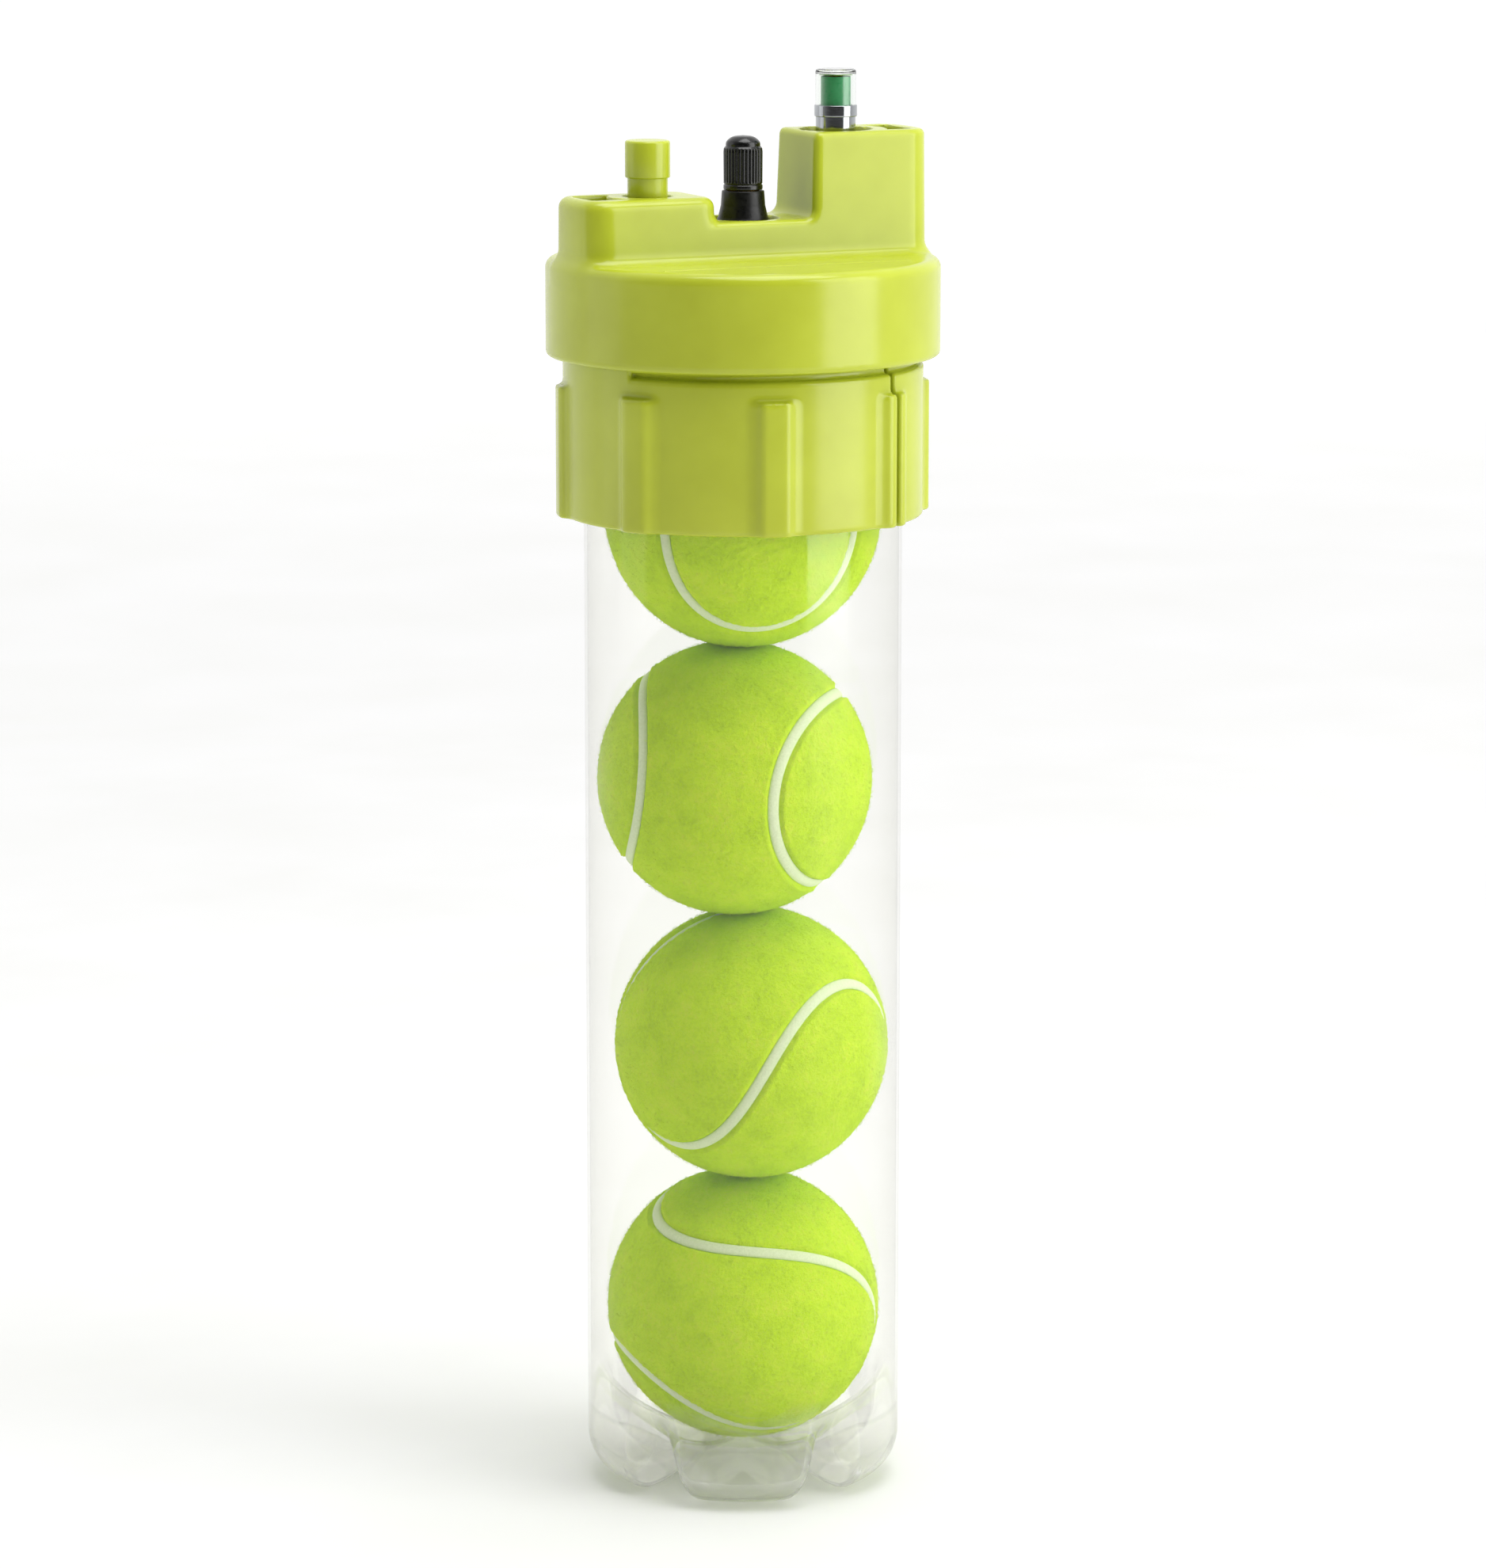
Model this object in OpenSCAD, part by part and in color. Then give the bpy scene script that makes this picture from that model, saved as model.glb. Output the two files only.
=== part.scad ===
// A clear can of four tennis balls, closed by a pressure-keeping screw cap.
// The cap screws onto a split collar that slides up the can and catches under its metal rim.
// Frame: Z up, the origin at the centre of the base on the floor, the cap's raised bar along X,
// the button at -X and the pressure indicator at +X. Millimetres.

/* [Can] */
// Outside diameter of the clear tube
can_d = 75; // [74.6:0.1:75.2]
// Wall of the clear tube
can_wall = 0.7; // [0.5:0.1:0.8]
// Height from the feet to the top of the metal rim
can_h = 289.2; // [288.5:0.1:291]
// Number of feet blown into the base
foot_count = 5; // [4:1:6]

/* [Balls] */
// Diameter of a ball over its felt
ball_d = 65.4; // [65:0.1:66]
// Height between the centres of neighbouring balls, with their felt pressed together
ball_pitch = 64.4; // [64:0.1:64.8]
// Height of the bottom ball's lowest point above the floor
ball_floor_z = 8.9; // [8.9:0.1:9.5]
// How far the middle balls lean out towards the tube wall
ball_lean = 2; // [0:0.1:3]

/* [Collar] */
// Height of the split collar
collar_h = 54.6; // [52:0.2:56]
// Outside diameter of the collar below its thread
collar_d = 84.7; // [84:0.1:85]
// Outside diameter over the grip ribs
rib_d = 88.5; // [87:0.1:90]
// Number of grip ribs
rib_count = 8; // [6:1:10]
// Width of the slit that lets the collar spring open
slit_w = 1.2; // [0.8:0.1:2]
// Rise of the cap for one turn of its thread
pitch = 4.3; // [4.1:0.1:4.6]

/* [Cap] */
// Outside diameter of the cap
cap_d = 92.6; // [92:0.2:94]
// Height of the cap's skirt
skirt_h = 22.9; // [21:0.1:24]
// Height of the middle of the bar above the cap's flat top
mid_h = 9; // [8:0.2:10]
// Height of the button's block above the cap's flat top
block_h = 14.9; // [14:0.1:15.5]
// Height of the indicator's tower above the cap's flat top
tower_h = 29; // [27:0.2:30]
// Half the width of the bar at its foot
bar_half_w = 11.6; // [11:0.1:12]

/* [Moving parts] */
// Travel of the release button
button_travel = 9.9; // [8:0.1:10]
// Travel of the green pressure sleeve
sleeve_travel = 6.4; // [4:0.1:6.6]
// Travel of the valve pin
pin_travel = 1.5; // [1:0.1:1.6]

/* [Hidden] */
$fn = 96;
SPRING_FN = 12;
FOOT_POINTS = 14;

// Gap between faces that lie against each other
snug = 0.05;

// Can
can_r = can_d / 2;
can_in_r = can_r - can_wall;
rim_r = 39;
rim_h = 3.8;
rim_wall = 0.5;
rim_bore_r = can_in_r - 0.1;
lip_r = 38.4;
base_valley_top = 27;
base_centre_z = ball_floor_z - 1.2;
foot_ring_r = 25;
foot_flat = 3;
foot_corner = 10.5;
foot_valley_w = 9;
foot_turn = -115;
can_slices = 12 * foot_count;

// Balls
ball_r = ball_d / 2;
felt_t = 3.2;
core_wall = 3.3;
core_r = ball_r - felt_t;
ball_gap = 0.3;
lean_angle = -25;
function ball_z(k) = ball_floor_z + ball_r + k * ball_pitch;
// The stack zigzags: the bottom and top balls are central, the middle two lean opposite ways
function ball_side(k) = k == 1 ? ball_lean : k == 2 ? -ball_lean : 0;
function ball_pos(k) = [ball_side(k) * cos(lean_angle), ball_side(k) * sin(lean_angle), ball_z(k)];

// Collar
collar_top = can_h - 0.6;
collar_bottom = collar_top - collar_h;
collar_r = collar_d / 2;
collar_bore_r = can_r + 0.25;
ledge_z = can_h - rim_h;
pocket_r = rim_r + 0.3;
thread_root_r = 40.5;
thread_crest_r = 42.3;
thread_zone_h = 19;
// Height of the lowest ridge's middle above the thread zone's foot, at angle 0
thread_rise = 3.85;
lip_out_r = 40.6;
rib_h = 31;
rib_flat = 6;
rib_foot = 10.5;
rib_corner = 1.6;
slit_angle = -60;
slit_gap_deg = 3;
thread_start = -153;
collar_turns = 3;
thread_root_half = 1.25;
thread_crest_half = 0.55;
thread_sink = 0.5;
thread_step = 6;
thread_taper = 16;
// Height of the collar's lowest ridge at angle 0
collar_thread_z0 = collar_top - thread_zone_h + thread_rise;

// Cap
gasket_t = 2.2;
gasket_gap = 0.1;
cap_r = cap_d / 2;
plate_z = can_h + gasket_gap + gasket_t;
plate_t = 3;
top_z = plate_z + plate_t;
skirt_z = top_z - skirt_h;
cap_in_r = 42.7;
cap_thread_r = 41;
cap_thread_turns = 1.9;
// The cap's ridge runs half a pitch above the collar's
cap_thread_z0 = collar_thread_z0 + pitch / 2;
top_edge = 2.3;
bottom_edge = 1.2;
bar_end_r = 44.5;
bar_edge = 2.1;
bar_draft = 0.035;
block_right = -11;
block_corner = 5.5;
tower_left = 14.4;
tower_corner = 1.6;
mid_z = top_z + mid_h;
block_z = top_z + block_h;
tower_z = top_z + tower_h;
pocket_floor_z = top_z + 2;
pocket_end_r = 42.2;
block_pocket_half = 7.5;
tower_pocket_half = 7.8;
block_pocket_arc = 8.3;
tower_pocket_arc = 10.6;

// Release button
button_x = -24.4;
button_r = 5.25;
button_neck_r = 4.7;
button_well_r = 5.6;
button_up = 12.9;
button_head_h = 8.6;
button_top = block_z + button_up;
button_bottom = block_z - 1.6;
well_floor_z = button_bottom - button_travel - 0.5;
rod_r = 2.5;
rod_hole_r = 2.56;
seal_r = 5.2;
seal_t = 1.6;
button_socket_r = 2.5;

// Tyre valves
valve_x = 0;
panel_t = 3;
valve_floor_z = mid_z - 3.5;
indicator_x = 24;
indicator_floor_z = top_z + 2;
valve_well_r = 8.3;
indicator_well_r = 8.7;
panel_hole_r = 5.75;
valve_flange_r = 8.4;
valve_flange_t = 3.2;
under_well_r = 8.8;
valve_bell_r = 8;
valve_bell_edge = 1.2;
valve_neck_r = 5;
valve_neck_h = 9.9;
stem_r = 3.85;
stem_low_r = 3;
stem_h = 19.2;
stem_air_r = 2.1;
core_body_r = 2.5;
pin_r = 0.8;
pin_bore_r = 0.9;
pin_top = stem_h - 0.4;
core_high = stem_h - 1.6;
core_low = core_high - 7;
poppet_r = 1.85;
poppet_t = 1.4;

// Dust cap
dust_r = 4.6;
dust_h = 12.6;
dust_bore_r = 3.93;
dust_flutes = 30;
dust_bottom_z = valve_floor_z + valve_neck_h + 0.2;
dust_top_z = dust_bottom_z + dust_h;
dust_seal_t = 0.6;
// Room between a seal disc and the bore that it lies in
seal_clear = 0.13;
dust_seal_z = valve_floor_z + stem_h + snug;

// Pressure indicator
indicator_top_z = top_z + 43;
knurl_r = 5.45;
knurl_teeth = 40;
knurl_low_z = indicator_floor_z + 10.4;
knurl_high_z = tower_z - 1;
indicator_stem_h = 17.2;
cylinder_r = 4.7;
ring_r = 5.05;
ring_low_z = tower_z + 2.9;
ring_high_z = tower_z + 5.6;
lens_r = 4.8;
lens_in_r = 4.05;
lens_low_z = ring_low_z + 0.5;
lens_roof = 1;
red_r = 2.7;
red_in_r = 1.6;
amber_r = 1.5;
carrier_z = knurl_low_z + 7.4;
carrier_t = 0.9;
diaphragm_t = 0.6;
washer_z = indicator_floor_z + indicator_stem_h + snug;
washer_t = 0.4;
base_bore_r = 4.25;
sleeve_r = 3.5;
sleeve_in_r = 3.05;
dial_r = 3.95;
dial_t = 0.3;
dial_z = indicator_top_z - lens_roof - 0.1 - dial_t;
sleeve_top_z = dial_z - 0.3;
sleeve_low_z = carrier_z + carrier_t + diaphragm_t + sleeve_travel + 2.5;
sleeve_flange_r = 4.05;
sleeve_flange_t = 0.6;
core_recess = pin_travel + 1.9;

// ---------------------------------------------------------------- helpers

// Points of an arc from angle a0 to a1 about c
function arc(c, r, a0, a1, n = 5) =
    [for (i = [0:n]) let (a = a0 + (a1 - a0) * i / n) c + r * [cos(a), sin(a)]];

// A ring of rectangular section between two radii and two heights
module ring(r_in, r_out, z0, z1) {
    rotate_extrude()
        translate([r_in, z0])
            square([r_out - r_in, z1 - z0]);
}

// A disc whose top edge is rounded
module rounded_disc(r, z0, z1, edge) {
    rotate_extrude()
        polygon(concat([[0, z0], [r, z0]], arc([r - edge, z1 - edge], edge, 0, 90), [[0, z1]]));
}

// A sweep of closed sections into one solid, all sections having the same number of points
module swept(rings) {
    m = len(rings[0]);
    n = len(rings);
    polyhedron(
        points = [for (s = rings) each s],
        faces = concat(
            [[for (j = [0:m - 1]) m - 1 - j]],
            [[for (j = [0:m - 1]) (n - 1) * m + j]],
            [for (i = [0:n - 2], j = [0:m - 1])
                let (a = i * m + j, b = i * m + (j + 1) % m)
                    each [[a, b, b + m], [a, b + m, a + m]]]
        )
    );
}

// One stretch of a helical ridge from angle a0 to a1, which sinks into its wall at both ends.
// The wall is at r_wall, the crest at r_crest, and the ridge passes z0 at angle 0.
module ridge(r_wall, r_crest, z0, a0, a1) {
    out = sign(r_crest - r_wall);
    n = ceil((a1 - a0) / thread_step);
    swept([for (i = [0:n])
        let (
            a = a0 + (a1 - a0) * i / n,
            k = min(1, (a - a0) / thread_taper, (a1 - a) / thread_taper),
            tip = r_wall + (r_crest - r_wall) * k - out * 0.3 * (1 - k),
            z = z0 + pitch * a / 360,
            root = r_wall - out * thread_sink,
            section = [
                [root, -thread_root_half - 0.2], [tip, -thread_crest_half],
                [tip, thread_crest_half], [root, thread_root_half + 0.2]
            ],
            turned = out > 0 ? section : [for (j = [3:-1:0]) section[j]]
        )
        [for (p = turned) [p[0] * cos(a), p[0] * sin(a), z + p[1]]]
    ]);
}

// A coil spring along Z
module coil(r, wire, z0, z1, turns) {
    n = turns * SPRING_FN;
    swept([for (i = [0:n])
        let (a = 360 * turns * i / n, z = z0 + wire / 2 + (z1 - z0 - wire) * i / n)
        [for (j = [0:5])
            let (b = -60 * j)
            [(r + wire / 2 * cos(b)) * cos(a), (r + wire / 2 * cos(b)) * sin(a), z + wire / 2 * sin(b)]]
    ]);
}

// A toothed outline for a knurled grip
module toothed(r, depth, count) {
    polygon([for (i = [0:2 * count - 1])
        let (a = 180 * i / count, q = i % 2 == 0 ? r : r - depth)
        q * [cos(a), sin(a)]]);
}

// ---------------------------------------------------------------- can

// Section of the can through a foot: centre nub, foot ring, rounded corner, wall
function foot_curve() = concat(
    [valley_point(0, FOOT_POINTS), [10, base_centre_z - 2.2], [14.5, 3.6], [19, 1.4]],
    [[foot_ring_r - foot_flat / 2, 0], [foot_ring_r + foot_flat / 2, 0]],
    arc([can_r - foot_corner, foot_corner], foot_corner, -80, 0, 6),
    [[can_r, base_valley_top]]
);

// Point k of n along the strap between two feet, a shallow bowl
function valley_point(k, n) =
    let (r = can_r * sin(90 * (k + 1) / n))
    [r, base_valley_top - (base_valley_top - base_centre_z) * sqrt(1 - pow(r / can_r, 2))];

// Share of foot, from 0 in the middle of a valley to 1 on a foot, at radius r and angle a
function foot_share(r, a) =
    let (
        step = 360 / foot_count,
        off = abs(((a - foot_turn + 720) % step) - step / 2) * PI / 180 * max(r, 6),
        t = min(1, off / foot_valley_w)
    )
    t * t * (3 - 2 * t);

// One ring of the can's skin at wall depth w, in the base or above it
function base_ring(k, w) =
    let (f = foot_curve(), v = valley_point(k, FOOT_POINTS))
    [for (i = [0:can_slices - 1])
        let (a = -360 * i / can_slices, p = v + (f[k] - v) * foot_share(f[k][0], a))
        can_point(p[0] * (1 - w / can_r), a, p[1] + w)];
function wall_ring(r, z) =
    [for (i = [0:can_slices - 1]) can_point(r, -360 * i / can_slices, z)];
function can_point(r, a, z) = [r * cos(a), r * sin(a), z];

// The blown shell is one skin: up the outside, over the flange at the mouth, and down the inside
module can_body() {
    mouth = can_h - 1;
    color([0.93, 0.96, 0.97, 0.35])
        swept(concat(
            [for (k = [0:FOOT_POINTS - 1]) base_ring(k, 0)],
            [wall_ring(can_r, can_h - 2), wall_ring(lip_r, can_h - 1.6), wall_ring(lip_r, mouth)],
            [wall_ring(can_in_r, mouth)],
            [for (k = [FOOT_POINTS - 1:-1:0]) base_ring(k, can_wall)]
        ));
}

// The metal ring left on the can once its lid has been pulled off
module can_rim() {
    color([0.80, 0.81, 0.82])
        rotate_extrude()
            difference() {
                polygon(concat(
                    [[rim_bore_r - 1.3, can_h - 4.4], [rim_bore_r - 1.3, can_h - 1]],
                    arc([rim_bore_r - 0.3, can_h - 1], 1, 180, 90),
                    arc([rim_r - 1, can_h - 1], 1, 90, 0),
                    [[rim_r, ledge_z], [can_r + 0.1, ledge_z], [can_r + 0.1, can_h - 4.4]]
                ));
                polygon([
                    [rim_bore_r, can_h - 5], [can_r + 0.2, can_h - 5], [can_r + 0.2, ledge_z + rim_wall],
                    [lip_r, can_h - 1.6], [lip_r, can_h - 1], [rim_bore_r, can_h - 1]
                ]);
            }
}

// ---------------------------------------------------------------- balls

// The hollow rubber core
module ball_core(k) {
    color([0.30, 0.30, 0.28])
        translate(ball_pos(k))
            difference() {
                sphere(r = core_r);
                sphere(r = core_r - core_wall);
            }
}

// The felt cover, pressed flat where it meets the balls above and below
module ball_felt(k) {
    color([0.80, 0.95, 0.25])
        difference() {
            translate(ball_pos(k)) {
                difference() {
                    sphere(r = ball_r);
                    sphere(r = core_r);
                }
            }
            if (k > 0)
                contact_cut(ball_pos(k), ball_pos(k - 1));
            if (k < 3)
                contact_cut(ball_pos(k), ball_pos(k + 1));
        }
}

// Everything of ball a that lies past the plane half way to ball b
module contact_cut(a, b) {
    d = b - a;
    lean = atan2(norm([d[0], d[1]]), d[2]);
    translate((a + b) / 2)
        rotate([0, lean, atan2(d[1], d[0])])
            translate([0, 0, -ball_gap / 2])
                cylinder(r = ball_r / 2, h = ball_r / 4);
}

// ---------------------------------------------------------------- collar and gasket

module grip_rib(a) {
    rotate([0, 0, a])
        intersection() {
            translate([0, 0, collar_bottom])
                linear_extrude(rib_h)
                    polygon([
                        [collar_r - 2, -rib_foot / 2], [collar_r - 0.2, -rib_foot / 2],
                        [collar_r + 0.6, -rib_flat / 2 - 0.6], [rib_d / 2 + 1, -rib_flat / 2],
                        [rib_d / 2 + 1, rib_flat / 2], [collar_r + 0.6, rib_flat / 2 + 0.6],
                        [collar_r - 0.2, rib_foot / 2], [collar_r - 2, rib_foot / 2]
                    ]);
            rotate_extrude()
                polygon([
                    [collar_r - 3, collar_bottom], [rib_d / 2 - 1, collar_bottom],
                    [rib_d / 2, collar_bottom + 1],
                    [rib_d / 2, collar_bottom + rib_h - rib_corner],
                    [rib_d / 2 - rib_corner / 2, collar_bottom + rib_h - rib_corner / 4],
                    [collar_r - 3, collar_bottom + rib_h]
                ]);
        }
}

module collar_profile() {
    zone_z = collar_top - thread_zone_h;
    polygon(concat(
        [
            [collar_bore_r, collar_bottom], [collar_r - 0.8, collar_bottom],
            [collar_r, collar_bottom + 0.8]
        ],
        arc([collar_r - 1, zone_z - 1.4], 1, 0, 60, 3),
        [[thread_root_r, zone_z], [thread_root_r, collar_top - 1.8]],
        [[lip_out_r - 0.9, collar_top - 1.6]],
        arc([lip_out_r - 0.7, collar_top - 0.7], 0.7, -30, 90, 4),
        [[pocket_r, collar_top], [pocket_r, ledge_z], [collar_bore_r, ledge_z]]
    ));
}

module split_collar() {
    color([0.83, 0.90, 0.27])
        difference() {
            union() {
                rotate_extrude()
                    collar_profile();
                for (i = [0:rib_count - 1])
                    grip_rib(slit_angle + 360 * i / rib_count);
                ridge(thread_root_r, thread_crest_r, collar_thread_z0,
                    thread_start, slit_angle - slit_gap_deg);
                for (i = [0:collar_turns - 1])
                    ridge(thread_root_r, thread_crest_r, collar_thread_z0,
                        slit_angle + slit_gap_deg + 360 * i, slit_angle - slit_gap_deg + 360 * (i + 1));
            }
            rotate([0, 0, slit_angle])
                translate([collar_bore_r - 2, -slit_w / 2, collar_bottom - 1])
                    cube([20, slit_w, collar_h + 2]);
        }
}

module cap_gasket() {
    color([0.20, 0.20, 0.21])
        ring(can_in_r - 1.2, cap_in_r - 0.9, plate_z - gasket_t, plate_z - snug);
}

// ---------------------------------------------------------------- cap

// Foot-to-top outline of the bar across its width, with draft and rounded top edges
module bar_section(h) {
    edge = 1.4;
    half_top = bar_half_w - bar_draft * (h - edge);
    polygon(concat(
        [[-bar_half_w - bar_draft, top_z - 1], [bar_half_w + bar_draft, top_z - 1]],
        arc([half_top - edge, top_z + h - edge], edge, 0, 90, 4),
        arc([-half_top + edge, top_z + h - edge], edge, 90, 180, 4)
    ));
}

// Plan of a stretch of the bar from x0 to x1, with the corners at one end rounded
module bar_plan(x0, x1, corner, round_right) {
    w = bar_half_w + 1;
    difference() {
        translate([x0, -w])
            square([x1 - x0, 2 * w]);
        for (side = [-1, 1])
            translate([round_right ? x1 : x0, side * bar_half_w])
                mirror([round_right ? 1 : 0, 0])
                    mirror([0, side > 0 ? 1 : 0])
                        difference() {
                            translate([-1, -2])
                                square([corner + 1, corner + 2]);
                            translate([corner, corner])
                                circle(r = corner);
                        }
    }
}

module bar_block(x0, x1, h, corner, round_right) {
    intersection() {
        translate([0, 0, top_z - 1])
            linear_extrude(h + 2)
                bar_plan(x0, x1, corner, round_right);
        rotate([90, 0, 90])
            translate([0, 0, x0 - 1])
                linear_extrude(x1 - x0 + 2)
                    bar_section(h);
        rounded_disc(bar_end_r, top_z - 1, top_z + h, bar_edge);
    }
}

module cap_solid() {
    rotate_extrude()
        polygon(concat(
            [[0, plate_z], [cap_in_r, plate_z], [cap_in_r, skirt_z + 0.8], [cap_in_r + 0.8, skirt_z]],
            arc([cap_r - bottom_edge, skirt_z + bottom_edge], bottom_edge, -90, 0, 4),
            arc([cap_r - top_edge, top_z - top_edge], top_edge, 0, 90, 6),
            [[0, top_z]]
        ));
    bar_block(-bar_end_r - 1, block_right, block_h, block_corner, true);
    mid_bar(block_right - block_corner, tower_left + 2 * tower_corner);
    bar_block(tower_left, bar_end_r + 1, tower_h, tower_corner, false);
}

// The low middle of the bar, which runs into the blocks on both sides
module mid_bar(x0, x1) {
    rotate([90, 0, 90])
        translate([0, 0, x0])
            linear_extrude(x1 - x0)
                bar_section(mid_h);
}

// A blind pocket from above, ending in an arc about the well beside it
module end_pocket(side, half_w, well_x, well_arc, z1) {
    translate([0, 0, pocket_floor_z])
        linear_extrude(z1 - pocket_floor_z + 1)
            difference() {
                intersection() {
                    circle(r = pocket_end_r);
                    translate([side > 0 ? well_x : -bar_end_r, -half_w])
                        square([bar_end_r - abs(well_x) + 1, 2 * half_w]);
                }
                translate([well_x, 0])
                    circle(r = well_arc);
            }
}

// The stepped hole that a snap-in tyre valve sits in
module valve_well(x, floor_z, well_r, z1) {
    translate([x, 0, 0]) {
        translate([0, 0, floor_z])
            cylinder(r = well_r, h = z1 - floor_z + 1);
        translate([0, 0, plate_z - 1])
            cylinder(r = panel_hole_r, h = z1 - plate_z);
        translate([0, 0, plate_z - 1])
            cylinder(r = under_well_r, h = floor_z - panel_t - plate_z + 1);
    }
}

module cap_shell() {
    color([0.88, 0.96, 0.33]) {
        difference() {
            cap_solid();
            end_pocket(-1, block_pocket_half, button_x, block_pocket_arc, block_z);
            end_pocket(1, tower_pocket_half, indicator_x, tower_pocket_arc, tower_z);
            valve_well(valve_x, valve_floor_z, valve_well_r, mid_z);
            valve_well(indicator_x, indicator_floor_z, indicator_well_r, tower_z);
            translate([button_x, 0, well_floor_z])
                cylinder(r = button_well_r, h = block_h);
            translate([button_x, 0, plate_z - 1])
                cylinder(r = rod_hole_r, h = block_h);
        }
        ridge(cap_in_r, cap_thread_r, cap_thread_z0, 0, 360 * cap_thread_turns);
    }
}

// ---------------------------------------------------------------- release button

module release_button() {
    color([0.88, 0.96, 0.33])
        translate([button_x, 0, 0])
            difference() {
                union() {
                    rounded_disc(button_r, button_top - button_head_h, button_top, 0.5);
                    translate([0, 0, button_bottom])
                        cylinder(r = button_neck_r, h = button_top - button_head_h - button_bottom + 0.5);
                }
                translate([0, 0, button_bottom - 1])
                    cylinder(r = button_socket_r, h = 9);
            }
}

module button_rod() {
    color([0.75, 0.76, 0.78])
        translate([button_x, 0, 0]) {
            translate([0, 0, plate_z - seal_t - 0.1])
                cylinder(r = rod_r, h = button_bottom + 7.9 - plate_z + seal_t);
            translate([0, 0, plate_z - seal_t - 1.7])
                cylinder(r = seal_r - 0.6, h = 1.6);
        }
}

module button_seal() {
    color([0.15, 0.15, 0.15])
        translate([button_x, 0, 0])
            ring(rod_r, seal_r, plate_z - seal_t - 0.1, plate_z - 0.1);
}

// ---------------------------------------------------------------- tyre valves

module snap_rubber(x, z) {
    foot = -panel_t - valve_flange_t;
    edge = 0.8;
    groove_r = panel_hole_r - snug;
    color([0.08, 0.08, 0.08])
        translate([x, 0, z])
            rotate_extrude()
                polygon(concat(
                    [[stem_low_r, foot], [valve_flange_r - edge, foot], [valve_flange_r, foot + edge]],
                    [[valve_flange_r, -panel_t], [groove_r, -panel_t], [groove_r, 0]],
                    arc([valve_bell_r - valve_bell_edge, valve_bell_edge], valve_bell_edge, -90, 40, 4),
                    [[valve_neck_r + 0.7, 5.2], [valve_neck_r, 6.6], [valve_neck_r, valve_neck_h]],
                    [[stem_low_r, valve_neck_h]]
                ));
}

module brass_stem(x, z, h) {
    color([0.80, 0.66, 0.36])
        translate([x, 0, z])
            difference() {
                union() {
                    translate([0, 0, -panel_t - valve_flange_t])
                        cylinder(r = stem_low_r, h = panel_t + valve_flange_t + h);
                    translate([0, 0, valve_neck_h])
                        cylinder(r = stem_r, h = h - valve_neck_h);
                }
                translate([0, 0, -panel_t - valve_flange_t - 1])
                    cylinder(r = stem_air_r, h = h + valve_flange_t + panel_t);
                translate([0, 0, h - stem_h + core_low])
                    cylinder(r = core_body_r, h = stem_h);
            }
}

module core_barrel(x, z, lift) {
    color([0.72, 0.60, 0.34])
        translate([x, 0, z + lift])
            difference() {
                translate([0, 0, core_low])
                    cylinder(r = core_body_r, h = core_high - core_low);
                translate([0, 0, core_low - 1])
                    cylinder(r = pin_bore_r, h = core_high);
                translate([0, 0, core_high - core_recess])
                    cylinder(r = 1.7, h = 4);
            }
}

module valve_rubber() {
    snap_rubber(valve_x, valve_floor_z);
}

module valve_stem() {
    brass_stem(valve_x, valve_floor_z, stem_h);
}

module valve_core() {
    core_barrel(valve_x, valve_floor_z, 0);
}

module valve_pin() {
    color([0.85, 0.75, 0.45])
        translate([valve_x, 0, valve_floor_z]) {
            translate([0, 0, core_low - poppet_t - 0.1])
                cylinder(r = pin_r, h = pin_top - core_low + poppet_t + 0.1);
            translate([0, 0, core_low - poppet_t - 0.1])
                cylinder(r = poppet_r, h = poppet_t);
            translate([0, 0, pin_top - 0.7])
                cylinder(r = 1.4, h = 0.5);
        }
}

module valve_spring() {
    color([0.70, 0.71, 0.73])
        translate([valve_x, 0, valve_floor_z])
            coil(1.25, 0.3, core_high - core_recess + snug, pin_top - 0.7 - snug, 4);
}

module dust_cap_seal() {
    color([0.12, 0.12, 0.12])
        translate([valve_x, 0, dust_seal_z])
            cylinder(r = dust_bore_r - seal_clear, h = dust_seal_t);
}

module dust_cap() {
    ring_h = 0.9;
    dome_h = 2.6;
    color([0.06, 0.06, 0.07])
        translate([valve_x, 0, 0])
            difference() {
                union() {
                    translate([0, 0, dust_bottom_z])
                        cylinder(r = dust_r, h = ring_h);
                    translate([0, 0, dust_bottom_z])
                        linear_extrude(dust_h - dome_h)
                            toothed(dust_r, 0.22, dust_flutes);
                    rounded_disc(dust_r - 0.55, dust_bottom_z, dust_top_z, 1.9);
                }
                translate([0, 0, dust_bottom_z - 1])
                    cylinder(r = dust_bore_r, h = dust_seal_z + dust_seal_t + 1.05 - dust_bottom_z);
            }
}

// ---------------------------------------------------------------- pressure indicator

module indicator_valve_rubber() {
    snap_rubber(indicator_x, indicator_floor_z);
}

module indicator_valve_stem() {
    brass_stem(indicator_x, indicator_floor_z, indicator_stem_h);
}

module indicator_valve_core() {
    core_barrel(indicator_x, indicator_floor_z, indicator_stem_h - stem_h);
}

module indicator_washer() {
    color([0.12, 0.12, 0.12])
        translate([indicator_x, 0, 0])
            ring(pin_bore_r + 0.6, dust_bore_r - seal_clear, washer_z, washer_z + washer_t);
}

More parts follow.
